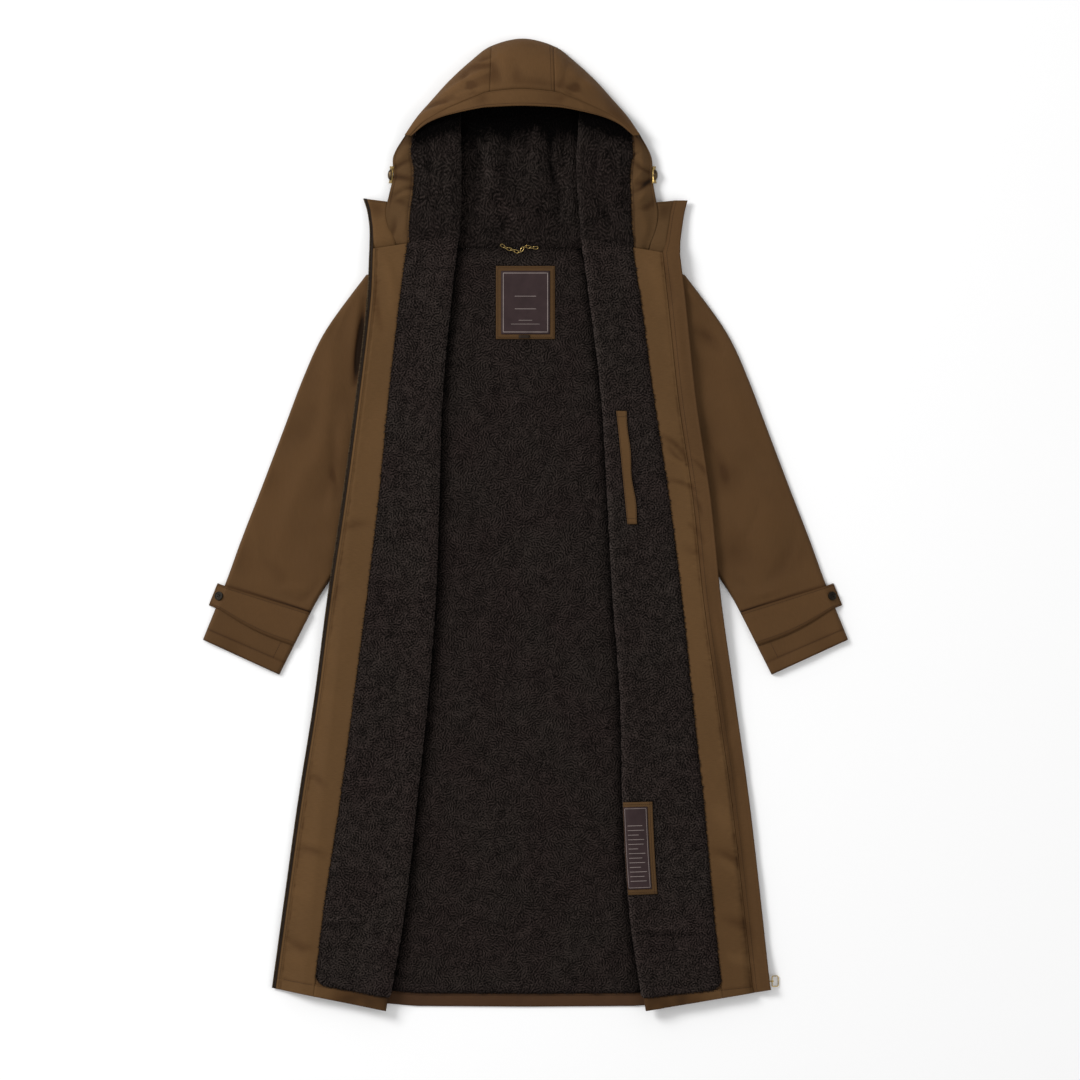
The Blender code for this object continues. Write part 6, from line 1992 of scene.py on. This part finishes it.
# %% Seams
# Cloth, row or column of its grid and the number of it, and where on it the stitches start and stop
SLEEVE_SEAMS = [
    ("sleeve_upper", "row", 253, 6, -12), ("sleeve_upper", "column", 46, 245, 254),
    ("cuff_strap", "column", 1, 0, -1), ("cuff_strap", "column", 11, 0, -1), ("cuff_strap", "row", -2, 1, -1),
]
SEAMS = {
    "fronts": [
        ("facing_left", "column", 30, 2), ("facing_left", "row", 10, 2, -8), ("facing_right", "row", 10, 2, -4),
        ("placket_right", "column", 3, 2), ("front_hem_band_left", "row", 10), ("front_hem_band_right", "row", 10),
        ("pocket_welt", "column", 2), ("pocket_welt", "column", 21), ("pocket_welt", "row", 2),
        ("pocket_welt", "row", 37), ("care_patch", "row", 1), ("care_patch", "row", 38),
        ("care_patch", "column", 21),
    ],
    "back": [
        ("back_hem_band", "row", 9), ("neck_patch", "row", 1, 1, -1), ("neck_patch", "row", 38, 1, -1),
        ("neck_patch", "column", 1, 1, -1), ("neck_patch", "column", 30, 1, -1),
    ],
    "hood": [
        ("hood_brim", "column", 11), ("hood_crown_centre", "row", 27, 4),
        ("hood_facing_left", "column", 3), ("hood_facing_left", "column", 22, 22),
        ("hood_facing_right", "column", 3), ("hood_facing_right", "column", 22, 22),
        ("neck_guard_left", "row", 31, 0, -5), ("neck_guard_right", "row", 31, 0, -5),
    ],
    "sleeves": [(f"{node}_{side}", *line) for side in ("left", "right") for node, *line in SLEEVE_SEAMS],
}
for region, lines in SEAMS.items():
    places = [seam(*line) for line in lines]
    row_of(f"stitching_{region}", spindle, ring_quads(3), places, THREAD)
    print("stitches", region, sum(len(points) for points, _, _ in places))

# %% [markdown]
# ## Tufts at the fleece's edges
#
# A cut fleece never ends in a clean line: single tufts of yarn hang over the seam. One tuft is a small wedge of
# six faces, thick at its root and thin at its tip. Hundreds of them are set along each edge that shows, unevenly
# back from it and turned a little, with a seeded mixer so that they fall the same way every time.

# %% One tuft
TUFT_PITCH, TUFT_LONG, TUFT_WIDE, TUFT_ROOT = 1.5, 6.0, 1.6, -2.5
TUFT_TURN, TUFT_PILE_SHADE, SET_BACK = 0.5, 0.5, (-0.4, 3.4)
ends = [(TUFT_ROOT, 1.0, 0.0), (TUFT_LONG + TUFT_ROOT, 0.25, -0.9)]  # place along the tuft, size, height
corners = ((-1, 0), (0, -0.5), (1, 0), (0, 0.5))
tuft = np.array([(x * TUFT_WIDE / 2 * size, y, h + z * size) for y, size, h in ends for x, z in corners])
mixer = np.random.default_rng(23)


def tufts(line):
    """Places along a fleece's edge, unevenly set back and turned; the pile leans to the left of the line's way."""
    points, way, _, _ = resampled(line, TUFT_PITCH)
    upright = np.broadcast_to([0.0, 0.0, 1.0], points.shape)
    aside = np.cross(upright, way)
    turn = mixer.normal(0, TUFT_TURN, len(points))[:, None]
    points = points - aside * mixer.uniform(*SET_BACK, len(points))[:, None]
    return points, way * np.cos(turn) + aside * np.sin(turn), upright


print("tuft", TUFT_LONG, "mm long")

# %% Fringes
FRINGES = {"back_lining": [tufts(tops["back_lining"][0, 6:-6][::-1])]}
for part in ("front", "hood_side"):
    for side, way in (("left", 1), ("right", -1)):
        node = f"{part}_lining_{side}"
        FRINGES[node] = [tufts(tops[node][::way, -1])]
FRINGES["front_lining_left"].append(tufts(tops["front_lining_left"][0, 24:]))
FRINGES["front_lining_right"].append(tufts(tops["front_lining_right"][0, 24:][::-1]))
for node, places in FRINGES.items():
    made = row_of("tufts_" + node.replace("_lining", ""), tuft, ring_quads(1), places, FLEECE)
    layer = made.data.attributes.new("painted_pile_shade", "FLOAT", "POINT")
    layer.data.foreach_set("value", np.full(len(made.data.vertices), TUFT_PILE_SHADE, np.float32))
    print("tufts on", node, sum(len(points) for points, _, _ in places))

# %% Label lines
LINE_POINTS = 24


def label_lines(name, grid, rules):
    """Flat woven lines on a label: each rule is a start and an end as shares across and up, and a width."""
    normals = grid_normals(grid)
    rows, cols = grid.shape[:2]
    points, quads = [], []
    for (u0, v0), (u1, v1), wide in rules:
        t = np.linspace(0, 1, LINE_POINTS)
        u, v = (u0 + (u1 - u0) * t) * (cols - 1), (v0 + (v1 - v0) * t) * (rows - 1)
        i, j = np.minimum(v.astype(int), rows - 2), np.minimum(u.astype(int), cols - 2)
        fv, fu = (v - i)[:, None], (u - j)[:, None]

        def at(g):
            low, high = g[i, j] * (1 - fu) + g[i, j + 1] * fu, g[i + 1, j] * (1 - fu) + g[i + 1, j + 1] * fu
            return low * (1 - fv) + high * fv

        line, normal = at(grid), at(normals)
        way = np.gradient(line, axis=0)
        aside = np.cross(normal, way)
        aside *= wide / 2 / np.linalg.norm(aside, axis=1, keepdims=True)
        corners = [line - aside - normal * 0.1, line + aside - normal * 0.1]
        corners += [line + aside * 0.8 + normal * 0.14, line - aside * 0.8 + normal * 0.14]
        quads.append(ring_quads(LINE_POINTS - 1) + 4 * LINE_POINTS * len(points))
        points.append(np.stack(corners, 1).reshape(-1, 3))
    points = (np.concatenate(points) - (0, MIDDLE_UP, 0)) * MM
    made, _ = mesh_object(name, points, np.concatenate(quads), [], LABEL_LINE)
    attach(made, "coat")
    return made


def border(inset_u, inset_v, wide):
    ends_u, ends_v = (inset_u, 1 - inset_u), (inset_v, 1 - inset_v)
    corners = [(ends_u[i], ends_v[j]) for i, j in ((0, 0), (1, 0), (1, 1), (0, 1))]
    return [(corners[k], corners[(k + 1) % 4], wide) for k in range(4)]


neck_rules = border(0.045, 0.035, 1.1) + [((0.28, 0.40), (0.72, 0.40), 0.9), ((0.28, 0.60), (0.72, 0.60), 0.9)]
neck_rules += [((0.36, 0.22), (0.64, 0.22), 0.7), ((0.20, 0.16), (0.80, 0.16), 0.7)]
label_lines("neck_label_lines", tops["neck_label"], neck_rules)
care_rules = border(0.06, 0.02, 0.7)
for k, end in enumerate((0.82, 0.74, 0.86, 0.62, 0.80, 0.70, 0.84, 0.55, 0.78, 0.81, 0.60, 0.83, 0.76)):
    care_rules.append(((0.16, 0.10 + 0.056 * k), (end, 0.10 + 0.056 * k), 0.9))
label_lines("care_label_lines", tops["care_label"], care_rules)
print("label lines:", len(neck_rules), "and", len(care_rules))

# %% [markdown]
# ## The cut of every cloth
#
# Each cloth's cut is printed. The width and length are measured along the smooth surface, round the roll where
# it has one, and the area is that of the surface. Two narrow strips that are sewn to other cloths, the left zip
# tape and the size tab, are left out, and so are teeth, stitches and label lines. Strips that are too narrow to
# count as a sheet go with the cloth that they are sewn to, and so do teeth, stitches and label lines.

for node, (made, smooth, held, below) in cuts.items():
    if node in ("zip_tape_left", "size_tab"):
        continue
    width = float(steps_along(smooth, 1)[:, -1].max()) * MM
    length = float(steps_along(smooth, 0)[-1].max()) * MM
    one = np.cross(smooth[1:, 1:] - smooth[:-1, :-1], smooth[1:, :-1] - smooth[:-1, 1:])
    area = float(np.linalg.norm(one, axis=-1).sum()) / 2 * MM**2
    area = min(area, width * length)
    print(f"{node}: {width * 1000:.0f} x {length * 1000:.0f} mm, {area:.4f} m2")
